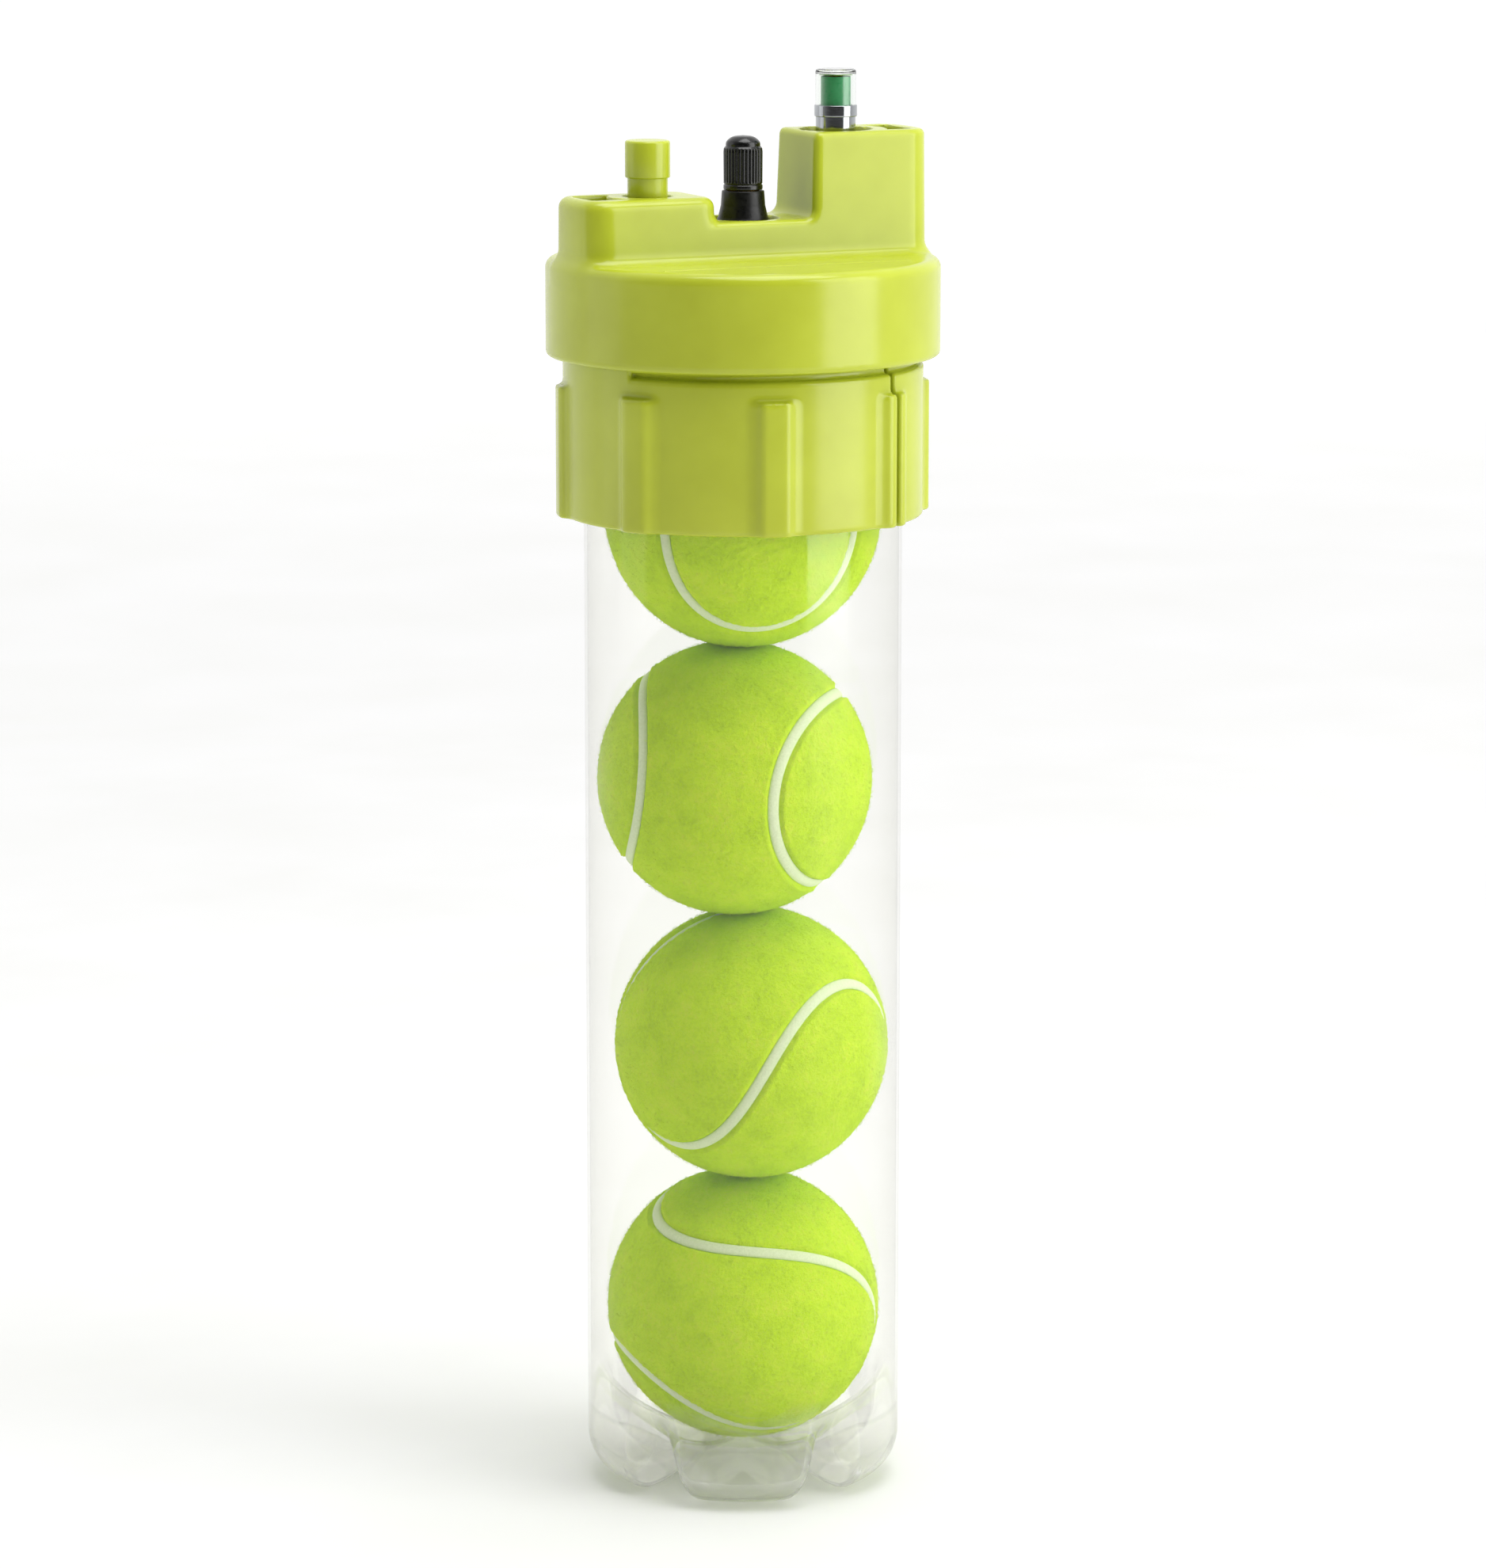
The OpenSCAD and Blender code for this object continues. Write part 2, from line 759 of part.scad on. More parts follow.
module indicator_base() {
    color([0.80, 0.81, 0.83])
        translate([indicator_x, 0, 0])
            difference() {
                union() {
                    translate([0, 0, knurl_low_z])
                        linear_extrude(knurl_high_z - knurl_low_z)
                            toothed(knurl_r, 0.25, knurl_teeth);
                    translate([0, 0, knurl_low_z])
                        cylinder(r = cylinder_r, h = ring_low_z - knurl_low_z);
                }
                translate([0, 0, knurl_low_z - 1])
                    cylinder(r = dust_bore_r, h = carrier_z - knurl_low_z + 1);
                translate([0, 0, carrier_z - 0.1])
                    cylinder(r = pin_bore_r, h = 2);
                translate([0, 0, carrier_z + carrier_t])
                    cylinder(r = base_bore_r, h = 20);
            }
}

module indicator_ring() {
    color([0.90, 0.90, 0.92])
        translate([indicator_x, 0, 0])
            rotate_extrude()
                polygon([
                    [cylinder_r - 0.4, ring_low_z], [ring_r - 0.2, ring_low_z], [ring_r, ring_low_z + 0.2],
                    [ring_r, ring_high_z - 0.2], [ring_r - 0.2, ring_high_z], [lens_r, ring_high_z],
                    [lens_r, lens_low_z], [cylinder_r - 0.4, lens_low_z]
                ]);
}

module indicator_lens() {
    color([0.92, 0.96, 0.97, 0.35])
        translate([indicator_x, 0, 0])
            difference() {
                rounded_disc(lens_r, lens_low_z, indicator_top_z, 0.8);
                translate([0, 0, lens_low_z + 0.6])
                    cylinder(r = lens_in_r, h = indicator_top_z - lens_roof - lens_low_z - 0.6);
                translate([0, 0, lens_low_z - 1])
                    cylinder(r = sleeve_r + 0.1, h = 3);
            }
}

// The coloured disc under the lens's roof
module indicator_dial() {
    color([0.45, 0.70, 0.22])
        translate([indicator_x, 0, dial_z])
            cylinder(r = dial_r, h = dial_t);
}

module green_sleeve() {
    color([0.16, 0.55, 0.30])
        translate([indicator_x, 0, 0]) {
            ring(sleeve_in_r, sleeve_r, sleeve_low_z, sleeve_top_z);
            ring(sleeve_in_r, sleeve_flange_r, sleeve_low_z, sleeve_low_z + sleeve_flange_t);
        }
}

module red_sleeve() {
    color([0.86, 0.30, 0.16])
        translate([indicator_x, 0, 0])
            ring(red_in_r, red_r, carrier_z + carrier_t + diaphragm_t, sleeve_top_z - 0.2);
}

module amber_pin() {
    color([0.93, 0.66, 0.20])
        translate([indicator_x, 0, 0])
            rounded_disc(amber_r, carrier_z + carrier_t + diaphragm_t, sleeve_top_z + 0.2, 0.3);
}

module indicator_spring() {
    color([0.75, 0.76, 0.78])
        translate([indicator_x, 0, 0])
            coil(3.85, 0.26, sleeve_low_z + sleeve_flange_t + snug, lens_low_z - snug, 3);
}

module indicator_diaphragm() {
    color([0.10, 0.10, 0.11])
        translate([indicator_x, 0, carrier_z + carrier_t])
            cylinder(r = base_bore_r - snug, h = diaphragm_t);
}

// ---------------------------------------------------------------- nodes

can_body();
can_rim();
ball_core(0);  // ball_1_core
ball_felt(0);  // ball_1_felt
ball_core(1);  // ball_2_core
ball_felt(1);  // ball_2_felt
ball_core(2);  // ball_3_core
ball_felt(2);  // ball_3_felt
ball_core(3);  // ball_4_core
ball_felt(3);  // ball_4_felt
split_collar();
cap_gasket();
cap_shell();
release_button();
button_rod();
button_seal();
valve_rubber();
valve_stem();
valve_core();
valve_pin();
valve_spring();
dust_cap_seal();
dust_cap();
indicator_valve_rubber();
indicator_valve_stem();
indicator_valve_core();
indicator_washer();
indicator_base();
indicator_ring();
indicator_lens();
indicator_dial();
green_sleeve();
red_sleeve();
amber_pin();
indicator_spring();
indicator_diaphragm();
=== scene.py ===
"""The looks of a clear can of four tennis balls under its pressure-keeping screw cap.

Shapes are worked out in millimetres, in the frame of the CAD model, and become metres when a
mesh is made. Z is up, the cap's bar lies along X, and the front is -Y.
"""
import math

import bmesh
import bpy
import numpy as np
from mathutils import Euler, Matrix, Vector, noise


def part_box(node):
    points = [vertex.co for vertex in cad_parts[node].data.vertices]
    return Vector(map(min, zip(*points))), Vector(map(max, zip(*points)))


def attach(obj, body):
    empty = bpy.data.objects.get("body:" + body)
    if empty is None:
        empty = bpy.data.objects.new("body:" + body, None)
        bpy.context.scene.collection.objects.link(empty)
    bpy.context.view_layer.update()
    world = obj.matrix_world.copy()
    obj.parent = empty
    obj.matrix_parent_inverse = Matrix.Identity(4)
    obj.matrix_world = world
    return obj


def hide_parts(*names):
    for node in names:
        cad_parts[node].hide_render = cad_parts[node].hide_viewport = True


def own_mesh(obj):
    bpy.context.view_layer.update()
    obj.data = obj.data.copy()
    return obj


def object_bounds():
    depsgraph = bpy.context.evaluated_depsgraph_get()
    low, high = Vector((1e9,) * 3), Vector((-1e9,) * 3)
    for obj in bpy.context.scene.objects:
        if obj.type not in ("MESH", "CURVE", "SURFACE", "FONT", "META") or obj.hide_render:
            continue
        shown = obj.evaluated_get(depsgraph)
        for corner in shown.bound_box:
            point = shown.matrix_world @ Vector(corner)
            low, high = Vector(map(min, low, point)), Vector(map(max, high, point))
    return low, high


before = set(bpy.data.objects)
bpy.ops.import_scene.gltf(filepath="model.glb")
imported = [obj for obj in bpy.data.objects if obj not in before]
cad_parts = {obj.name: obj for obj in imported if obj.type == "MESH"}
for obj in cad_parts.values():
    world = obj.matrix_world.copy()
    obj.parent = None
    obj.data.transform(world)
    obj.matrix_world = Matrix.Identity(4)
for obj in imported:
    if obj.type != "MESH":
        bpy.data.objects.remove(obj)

CAD_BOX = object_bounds()
MM = 0.001


# ---------------------------------------------------------------- camera, lights and floor

VIEW_AZIMUTH = math.radians(-25)
VIEW_ELEVATION = math.radians(10.5)
# metres from the object's middle
VIEW_DISTANCE = 1.42
LENS = 137
FAR_CLIP = 50

# brightness of the room in front of the camera and behind it
ROOM_AHEAD = 1.02
ROOM_BEHIND = 0.06

FLOOR_RADIUS = 2.6
FLOOR_DROP = 0.0003
# the floor's glow starts at this distance and grows up to its edge
GLOW_START = 0.25
GLOW_NEAR = 0.13
GLOW_FAR = 0.53


def direction(azimuth, elevation):
    """Unit vector from the object towards a viewer: azimuth 0 is in front, 90 at the right."""
    flat = math.cos(elevation)
    return Vector((math.sin(azimuth) * flat, -math.cos(azimuth) * flat, math.sin(elevation)))


def aimed(obj, target, towards, distance):
    """Puts obj at a distance from the target, looking at it."""
    obj.location = target + towards * distance
    obj.rotation_euler = (-towards).to_track_quat("-Z", "Y").to_euler()
    bpy.context.scene.collection.objects.link(obj)
    return obj


def make_camera(target):
    data = bpy.data.cameras.new("camera")
    data.lens = LENS
    data.clip_end = FAR_CLIP
    camera = bpy.data.objects.new("camera", data)
    towards = direction(VIEW_AZIMUTH, VIEW_ELEVATION)
    bpy.context.scene.camera = aimed(camera, target, towards, VIEW_DISTANCE)


def softbox(name, target, azimuth, elevation, distance, size, power):
    """A soft light with angles in degrees, sizes in metres and power in watts."""
    data = bpy.data.lights.new(name, "AREA")
    data.shape = "RECTANGLE"
    data.size, data.size_y = size
    data.energy = power
    towards = direction(math.radians(azimuth), math.radians(elevation))
    box = aimed(bpy.data.objects.new(name, data), target, towards, distance)
    box.visible_camera = False


def make_studio(target):
    softbox("right_softbox", target, azimuth=40, elevation=18, distance=1.3, size=(0.9, 1.4), power=13)
    softbox("left_softbox", target, azimuth=-112, elevation=12, distance=1.3, size=(0.6, 1.4), power=1.5)
    softbox("top_softbox", target, azimuth=20, elevation=78, distance=1.5, size=(1.1, 1.1), power=16)
    world = bpy.data.worlds.new("studio")
    world.use_nodes = True
    nodes, links = world.node_tree.nodes, world.node_tree.links
    nodes["Background"].inputs["Color"].default_value = (1, 1, 1, 1)
    # darker behind the camera, so that bright metal and gloss have something dark to show
    seen = nodes.new("ShaderNodeTexCoord").outputs["Generated"]
    facing = nodes.new("ShaderNodeVectorMath")
    facing.operation = "DOT_PRODUCT"
    facing.inputs[1].default_value = direction(VIEW_AZIMUTH, 0)
    links.new(seen, facing.inputs[0])
    dimmed = nodes.new("ShaderNodeMapRange")
    dimmed.interpolation_type = "SMOOTHSTEP"
    limits = {"From Min": -0.6, "From Max": 0.95, "To Min": ROOM_AHEAD, "To Max": ROOM_BEHIND}
    for socket, value in limits.items():
        dimmed.inputs[socket].default_value = value
    links.new(facing.outputs["Value"], dimmed.inputs["Value"])
    links.new(dimmed.outputs["Result"], nodes["Background"].inputs["Strength"])
    bpy.context.scene.world = world
    bpy.context.scene.view_settings.view_transform = "Standard"


def make_floor():
    """A wide pale floor that glows a little, so that it stays white away from the lights."""
    look = Look("studio_floor")
    look.set(Roughness=0.6)
    look.shader.inputs["Specular IOR Level"].default_value = 0.2
    look.colour_from(look.noise(9, detail=3), [(0.3, "#d9d9d7"), (0.7, "#dedede")])
    look.shader.inputs["Emission Color"].default_value = (1, 1, 1, 1)
    distance = look.node("ShaderNodeVectorMath", {0: look.place}, operation="LENGTH").outputs["Value"]
    glow = look.spread(distance, GLOW_START, FLOOR_RADIUS, GLOW_NEAR, GLOW_FAR)
    look.tree.links.new(glow, look.shader.inputs["Emission Strength"])
    bpy.ops.mesh.primitive_circle_add(
        vertices=96, radius=FLOOR_RADIUS, fill_type="NGON", location=(0, 0, -FLOOR_DROP)
    )
    floor = bpy.context.object
    floor.name = "floor"
    floor.data.materials.append(look.material)


# ---------------------------------------------------------------- materials

def linear(hex_colour):
    """A #rrggbb colour as the linear RGBA that shaders use."""
    parts = [int(hex_colour[i:i + 2], 16) / 255 for i in (1, 3, 5)]
    return (*(c / 12.92 if c <= 0.04045 else ((c + 0.055) / 1.055) ** 2.4 for c in parts), 1)


class Look:
    """A material built round one Principled shader. Scales are features per metre."""

    def __init__(self, name):
        self.material = bpy.data.materials.new(name)
        self.material.use_nodes = True
        self.tree = self.material.node_tree
        self.shader = self.tree.nodes["Principled BSDF"]
        self.output = self.tree.nodes["Material Output"]
        self.place = self.tree.nodes.new("ShaderNodeTexCoord").outputs["Object"]

    def node(self, kind, links=(), **values):
        """A new node: values sets its properties, and links its input sockets."""
        made = self.tree.nodes.new(kind)
        for name, value in values.items():
            setattr(made, name, value)
        for socket, value in dict(links).items():
            if isinstance(value, bpy.types.NodeSocket):
                self.tree.links.new(value, made.inputs[socket])
            else:
                made.inputs[socket].default_value = value
        return made

    def set(self, **values):
        """Sets inputs of the shader; an underscore stands for a space in the input's name."""
        for name, value in values.items():
            self.shader.inputs[name.replace("_", " ")].default_value = value

    def noise(self, scale, detail=4, roughness=0.55, stretch=(1, 1, 1)):
        place = self.node("ShaderNodeMapping", {"Vector": self.place, "Scale": stretch}).outputs[0]
        links = {"Vector": place, "Scale": scale, "Detail": detail, "Roughness": roughness}
        return self.node("ShaderNodeTexNoise", links).outputs["Fac"]

    def spread(self, value, low, high, to_low, to_high):
        """The value's range low..high stretched to to_low..to_high."""
        links = {"Value": value, "From Min": low, "From Max": high, "To Min": to_low, "To Max": to_high}
        return self.node("ShaderNodeMapRange", links).outputs["Result"]

    def sum(self, first, second, share):
        """first plus a share of second."""
        links = {0: second, 1: share, 2: first}
        return self.node("ShaderNodeMath", links, operation="MULTIPLY_ADD").outputs[0]

    def power(self, value, exponent):
        return self.node("ShaderNodeMath", {0: value, 1: exponent}, operation="POWER").outputs[0]

    def ramp(self, value, stops):
        made = self.node("ShaderNodeValToRGB", {"Fac": value})
        points = made.color_ramp.elements
        while len(points) < len(stops):
            points.new(0.5)
        for point, (at, colour) in zip(points, stops):
            point.position = at
            point.color = linear(colour)
        return made.outputs["Color"]

    def colour_from(self, value, stops):
        self.tree.links.new(self.ramp(value, stops), self.shader.inputs["Base Color"])

    def roughness_from(self, value, low, high):
        self.tree.links.new(self.spread(value, 0.35, 0.65, low, high), self.shader.inputs["Roughness"])

    def bump_from(self, height, depth, strength):
        """Relief of the given depth in millimetres."""
        links = {"Height": height, "Distance": depth * MM, "Strength": strength}
        self.tree.links.new(self.node("ShaderNodeBump", links).outputs[0], self.shader.inputs["Normal"])


def lime_plastic():
    """Glossy moulded plastic: faint flow marks, a fine orange-peel skin and hairline scuffs."""
    look = Look("lime_plastic")
    flow = look.noise(45, detail=3)
    look.colour_from(flow, [(0.3, "#b0ba2c"), (0.5, "#b5c031"), (0.7, "#bac536")])
    skin = look.noise(1400, detail=2)
    scuffs = look.noise(160, detail=8, roughness=0.8, stretch=(1, 1, 7))
    look.roughness_from(look.sum(skin, scuffs, 0.6), 0.09, 0.21)
    look.bump_from(look.sum(skin, scuffs, 0.5), 0.008, 0.5)
    look.set(Specular_IOR_Level=0.5, IOR=1.5, Subsurface_Weight=0.12, Subsurface_Scale=0.004,
             Subsurface_Radius=(1.0, 1.0, 0.25))
    return look.material


def clear_pet():
    """Thin blown plastic: light goes straight through the wall and glances off its skin."""
    look = Look("clear_pet")
    facing = look.node("ShaderNodeLayerWeight", {"Blend": 0.5}).outputs["Facing"]
    edge = look.power(facing, 3.0)
    tint = look.ramp(edge, [(0.0, "#fefefd"), (0.7, "#f6f6f4"), (1.0, "#dfdfdb")])
    through = look.node("ShaderNodeBsdfTransparent", {"Color": tint}).outputs[0]
    share = look.sum(0.022, look.power(facing, 5.0), 0.8)
    haze = look.noise(220, detail=6, roughness=0.7)
    gloss_links = {"Color": (1, 1, 1, 1), "Roughness": look.spread(haze, 0.35, 0.7, 0.03, 0.12)}
    gloss = look.node("ShaderNodeBsdfGlossy", gloss_links)
    ripple = look.noise(55, detail=2)
    bump = look.node("ShaderNodeBump", {"Height": ripple, "Distance": 0.25 * MM, "Strength": 0.5})
    look.tree.links.new(bump.outputs[0], gloss.inputs["Normal"])
    wall = look.node("ShaderNodeMixShader", {0: share, 1: through, 2: gloss.outputs[0]}).outputs[0]
    # the base is thick enough to bend what is seen through it
    look.set(Base_Color=linear("#fdfdfb"), Transmission_Weight=1.0, Roughness=0.02, IOR=1.4)
    height = look.node("ShaderNodeSeparateXYZ", {0: look.place}).outputs["Z"]
    base = look.spread(height, 8 * MM, 26 * MM, 0.62, 0.0)
    both = look.node("ShaderNodeMixShader", {0: base, 1: wall, 2: look.shader.outputs[0]}).outputs[0]
    look.tree.links.new(both, look.output.inputs["Surface"])
    return look.material


def clear_acrylic():
    """Polished clear plastic with a trace of haze."""
    look = Look("clear_acrylic")
    haze = look.noise(700, detail=4)
    look.roughness_from(haze, 0.0, 0.05)
    look.set(Base_Color=linear("#f8fbf8"), Transmission_Weight=1.0, IOR=1.49)
    look.bump_from(haze, 0.004, 0.3)
    return look.material


def ball_felt(name, low, middle, high):
    """Napped felt: fine tufts, soft clouds of colour, and the sheen of raised fibres."""
    look = Look(name)
    tufts = look.noise(1500, detail=6, roughness=0.75)
    clouds = look.noise(130, detail=4)
    mixed = look.sum(look.spread(clouds, 0.3, 0.7, -0.12, 0.12), tufts, 1.0)
    look.colour_from(mixed, [(0.25, low), (0.5, middle), (0.75, high)])
    look.set(Roughness=0.95, Specular_IOR_Level=0.12, Sheen_Weight=0.16, Sheen_Roughness=0.45,
             Sheen_Tint=linear("#dcff6a"))
    curls = look.noise(650, detail=5, roughness=0.8)
    look.bump_from(look.sum(curls, tufts, 0.7), 0.8, 0.9)
    return look.material


def seam_rubber():
    """The pale, slightly grainy rubber of a ball's seam."""
    look = Look("seam_rubber")
    grain = look.noise(1800, detail=5, roughness=0.7)
    look.colour_from(grain, [(0.3, "#d2e0b4"), (0.7, "#e6f0cd")])
    look.set(Roughness=0.8, Specular_IOR_Level=0.25)
    look.bump_from(grain, 0.12, 0.6)
    return look.material


def soft_rubber(name, dark, light, low, high):
    """Moulded rubber: a matt skin with fine grain and paler dusty patches."""
    look = Look(name)
    dust = look.noise(70, detail=5, roughness=0.7)
    look.colour_from(dust, [(0.35, dark), (0.75, light)])
    grain = look.noise(900, detail=5, roughness=0.65)
    look.roughness_from(grain, low, high)
    look.set(Specular_IOR_Level=0.35)
    look.bump_from(grain, 0.03, 0.6)
    return look.material


def hard_plastic(name, dark, light, low, high):
    """A small moulded part: almost even colour, a fine skin and slight wear."""
    look = Look(name)
    flow = look.noise(120, detail=4)
    look.colour_from(flow, [(0.3, dark), (0.7, light)])
    skin = look.noise(1600, detail=4, roughness=0.7)
    look.roughness_from(skin, low, high)
    look.set(Specular_IOR_Level=0.5)
    look.bump_from(skin, 0.004, 0.5)
    return look.material


def metal(name, dark, light, low, high):
    """Bare or plated metal with fine tool marks along its turning direction."""
    look = Look(name)
    marks = look.noise(420, detail=6, roughness=0.7, stretch=(1, 1, 14))
    tarnish = look.noise(90, detail=4)
    look.colour_from(tarnish, [(0.3, dark), (0.7, light)])
    look.roughness_from(look.sum(marks, tarnish, 0.3), low, high)
    look.set(Metallic=1.0)
    look.bump_from(marks, 0.006, 0.4)
    return look.material


# ---------------------------------------------------------------- mesh helpers

def span(node):
    """Lowest and highest corner of a CAD node, in millimetres."""
    low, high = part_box(node)
    return np.array(low) / MM, np.array(high) / MM


def piece(name, verts, faces, material, body, stands_for=(), sharp=38.0):
    """A mesh from points in millimetres, shaded smooth but for edges sharper than sharp degrees."""
    mesh = bpy.data.meshes.new(name)
    corners = np.concatenate([np.asarray(f, np.int32).ravel() for f in faces])
    sizes = np.concatenate([np.full(len(f), np.asarray(f).shape[1], np.int32) for f in faces])
    starts = np.concatenate([[0], np.cumsum(sizes)[:-1]]).astype(np.int32)
    mesh.vertices.add(len(verts))
    mesh.vertices.foreach_set("co", (np.asarray(verts, np.float32) * MM).ravel())
    mesh.loops.add(len(corners))
    mesh.loops.foreach_set("vertex_index", corners)
    mesh.polygons.add(len(sizes))
    mesh.polygons.foreach_set("loop_start", starts)
    mesh.update(calc_edges=True)
    mesh.validate()
    tidy = bmesh.new()
    tidy.from_mesh(mesh)
    bmesh.ops.remove_doubles(tidy, verts=tidy.verts, dist=1e-7)
    bmesh.ops.recalc_face_normals(tidy, faces=tidy.faces)
    tidy.to_mesh(mesh)
    tidy.free()
    mesh.shade_smooth()
    mesh.set_sharp_from_angle(angle=math.radians(sharp))
    mesh.materials.append(material)
    obj = bpy.data.objects.new(name, mesh)
    bpy.context.scene.collection.objects.link(obj)
    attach(obj, body)
    if stands_for:
        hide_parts(*stands_for)
    return obj


def grid_faces(rows, columns, closed_rows=True):
    """Quads over points numbered row by row. The last column joins the first."""
    i = np.arange(rows if closed_rows else rows - 1)[:, None]
    j = np.arange(columns)[None, :]
    down, right = (i + 1) % rows, (j + 1) % columns
    quads = [i * columns + j, i * columns + right, down * columns + right, down * columns + j]
    return np.stack([np.broadcast_to(q, (i.size, j.size)).ravel() for q in quads], 1)


def rounded(corners, steps=5):
    """A closed outline through (r, z, radius) corners, each turned by an arc of its radius."""
    points = []
    for i, (r, z, radius) in enumerate(corners):
        here = np.array([r, z], float)
        if radius == 0:
            points.append(here)
            continue
        back = np.array(corners[i - 1][:2]) - here
        ahead = np.array(corners[(i + 1) % len(corners)][:2]) - here
        back, ahead = back / np.linalg.norm(back), ahead / np.linalg.norm(ahead)
        half = 0.5 * math.acos(np.clip(back @ ahead, -1, 1))
        middle = (back + ahead) / np.linalg.norm(back + ahead)
        centre = here + middle * radius / math.sin(half)
        first = here + back * radius / math.tan(half) - centre
        last = here + ahead * radius / math.tan(half) - centre
        turn = math.pi - 2 * half
        for k in range(steps + 1):
            t = k / steps
            mix = math.sin((1 - t) * turn) * first + math.sin(t * turn) * last
            points.append(centre + mix / math.sin(turn))
    return np.array(points)


def subdivided(outline, step):
    """The closed outline with no side longer than step."""
    points = []
    for here, ahead in zip(outline, np.roll(outline, -1, 0)):
        count = max(1, math.ceil(np.linalg.norm(ahead - here) / step))
        points += [here + (ahead - here) * k / count for k in range(count)]
    return np.array(points)


def lathe(outline, centre=(0, 0), segments=96, shape=None):
    """Turns a closed (r, z) outline about a vertical axis. shape(r, z, a) may change the radius."""
    angle = np.arange(segments) * 2 * math.pi / segments
    r, a = np.meshgrid(outline[:, 0], angle, indexing="ij")
    z = np.repeat(outline[:, 1:], segments, 1)
    if shape:
        r = shape(r, z, a)
    verts = np.stack([centre[0] + r * np.cos(a), centre[1] + r * np.sin(a), z], -1).reshape(-1, 3)
    return verts, [grid_faces(len(outline), segments)]


def sweep(path, side, up, section, loop=True):
    """A tube: at each path point the section's (across, out) points lie along side and up."""
    verts = path[:, None] + section[None, :, :1] * side[:, None] + section[None, :, 1:] * up[:, None]
    faces = [grid_faces(len(path), len(section), closed_rows=loop)]
    if not loop:
        first = np.arange(len(section))
        faces += [first[None, ::-1], first[None] + (len(path) - 1) * len(section)]
    return verts.reshape(-1, 3), faces


# ---------------------------------------------------------------- distance fields

def round_or(a, b, radius):
    """Union of two distance fields with a fillet in the corner between them."""
    reach = np.sqrt(np.maximum(radius - a, 0) ** 2 + np.maximum(radius - b, 0) ** 2)
    return np.maximum(radius, np.minimum(a, b)) - reach


def round_and(a, b, radius):
    """Intersection of two distance fields with a rounded edge."""
    reach = np.sqrt(np.maximum(radius + a, 0) ** 2 + np.maximum(radius + b, 0) ** 2)
    return np.minimum(-radius, np.maximum(a, b)) + reach


PROBE = 0.02
FLATTEST_GRADIENT = 0.05
LONGEST_MOVE = 0.6
SPREADING_ROUNDS = 3


def projected(points, field, rounds):
    """Points moved along the field's gradient onto its zero level."""
    for _ in range(rounds):
        gradient = np.stack([
            (field(*(points + step).T) - field(*(points - step).T)) / (2 * PROBE)
            for step in np.eye(3) * PROBE
        ], 1)
        size = np.maximum((gradient ** 2).sum(1), FLATTEST_GRADIENT)
        move = np.clip(field(*points.T) / size, -LONGEST_MOVE, LONGEST_MOVE)
        points = points - gradient * move[:, None]
    return points


def field_surface(field, low, high, step):
    """Quads over a field's zero level: one point for each grid cell it crosses, spread evenly."""
    axes = [np.arange(a, b + step, step) for a, b in zip(low, high)]
    layers = []
    for z in axes[2]:
        layer = np.meshgrid(axes[0], axes[1], [z], indexing="ij")
        layers.append(field(*(g.astype(np.float32) for g in layer))[:, :, 0] < 0)
    inside = np.stack(layers, 2)
    corners = sum(
        inside[i:len(axes[0]) - 1 + i, j:len(axes[1]) - 1 + j, k:len(axes[2]) - 1 + k].astype(np.int8)
        for i in (0, 1) for j in (0, 1) for k in (0, 1)
    )
    crossed = (corners > 0) & (corners < 8)
    number = np.full(crossed.shape, -1, np.int32)
    number[crossed] = np.arange(crossed.sum())
    cells = np.argwhere(crossed)
    points = np.stack([axes[c][cells[:, c]] + step / 2 for c in range(3)], 1)
    quads = []
    for order in ((0, 1, 2), (1, 2, 0), (2, 0, 1)):
        state, cell = inside.transpose(order), number.transpose(order)
        i, j, k = np.nonzero(state[:-1, 1:-1, 1:-1] != state[1:, 1:-1, 1:-1])
        ring = np.stack([cell[i, j, k], cell[i, j + 1, k], cell[i, j + 1, k + 1], cell[i, j, k + 1]], 1)
        leaving = state[i, j + 1, k + 1]
        quads.append(np.where(leaving[:, None], ring, ring[:, ::-1]))
    quads = np.concatenate(quads)
    points = projected(points, field, 3)
    a = np.concatenate([quads[:, k] for k in range(4)])
    b = np.concatenate([quads[:, (k + 1) % 4] for k in range(4)])
    count = np.bincount(a, minlength=len(points)) + np.bincount(b, minlength=len(points))
    for _ in range(SPREADING_ROUNDS):
        total = np.stack([
            np.bincount(a, points[b, c], len(points)) + np.bincount(b, points[a, c], len(points))
            for c in range(3)
        ], 1)
        points = projected(points + 0.5 * (total / count[:, None] - points), field, 1)
    return points, [quads]


def helix_ridge(r, angle, z, start, end, low_z, wall, crest):
    """Distance field of a screw ridge. It climbs from low_z at angle 0, between two total angles.

    The ridge stands on a wall radius and rises outwards, or inwards where crest is smaller.
    """
    out = 1 if crest > wall else -1
    height = abs(crest - wall)
    turn = 2 * math.pi
    climb = (z - low_z) / PITCH * turn
    nearest = angle + turn * np.round((climb - angle) / turn)
    nearest = np.where(nearest < start, nearest + turn, nearest)
    nearest = np.where(nearest > end, nearest - turn, nearest)
    off = np.abs(z - low_z - PITCH * nearest / turn)
    rise = out * (r - wall)
    slope = (THREAD_ROOT_HALF - THREAD_CREST_HALF) / height
    flank = (off - THREAD_ROOT_HALF + rise * slope) / math.hypot(1, slope)
    ridge = np.maximum(round_and(flank, rise - height, 0.35), -RIDGE_SINK - rise)
    past = np.maximum(start - nearest, nearest - end) * wall
    return round_and(ridge, past, 0.6)


# ---------------------------------------------------------------- sizes, in millimetres

# screw thread between cap and collar
PITCH = 4.3
THREAD_ROOT_HALF = 1.25
THREAD_CREST_HALF = 0.55
# how far a ridge reaches into the wall it stands on
RIDGE_SINK = 0.9
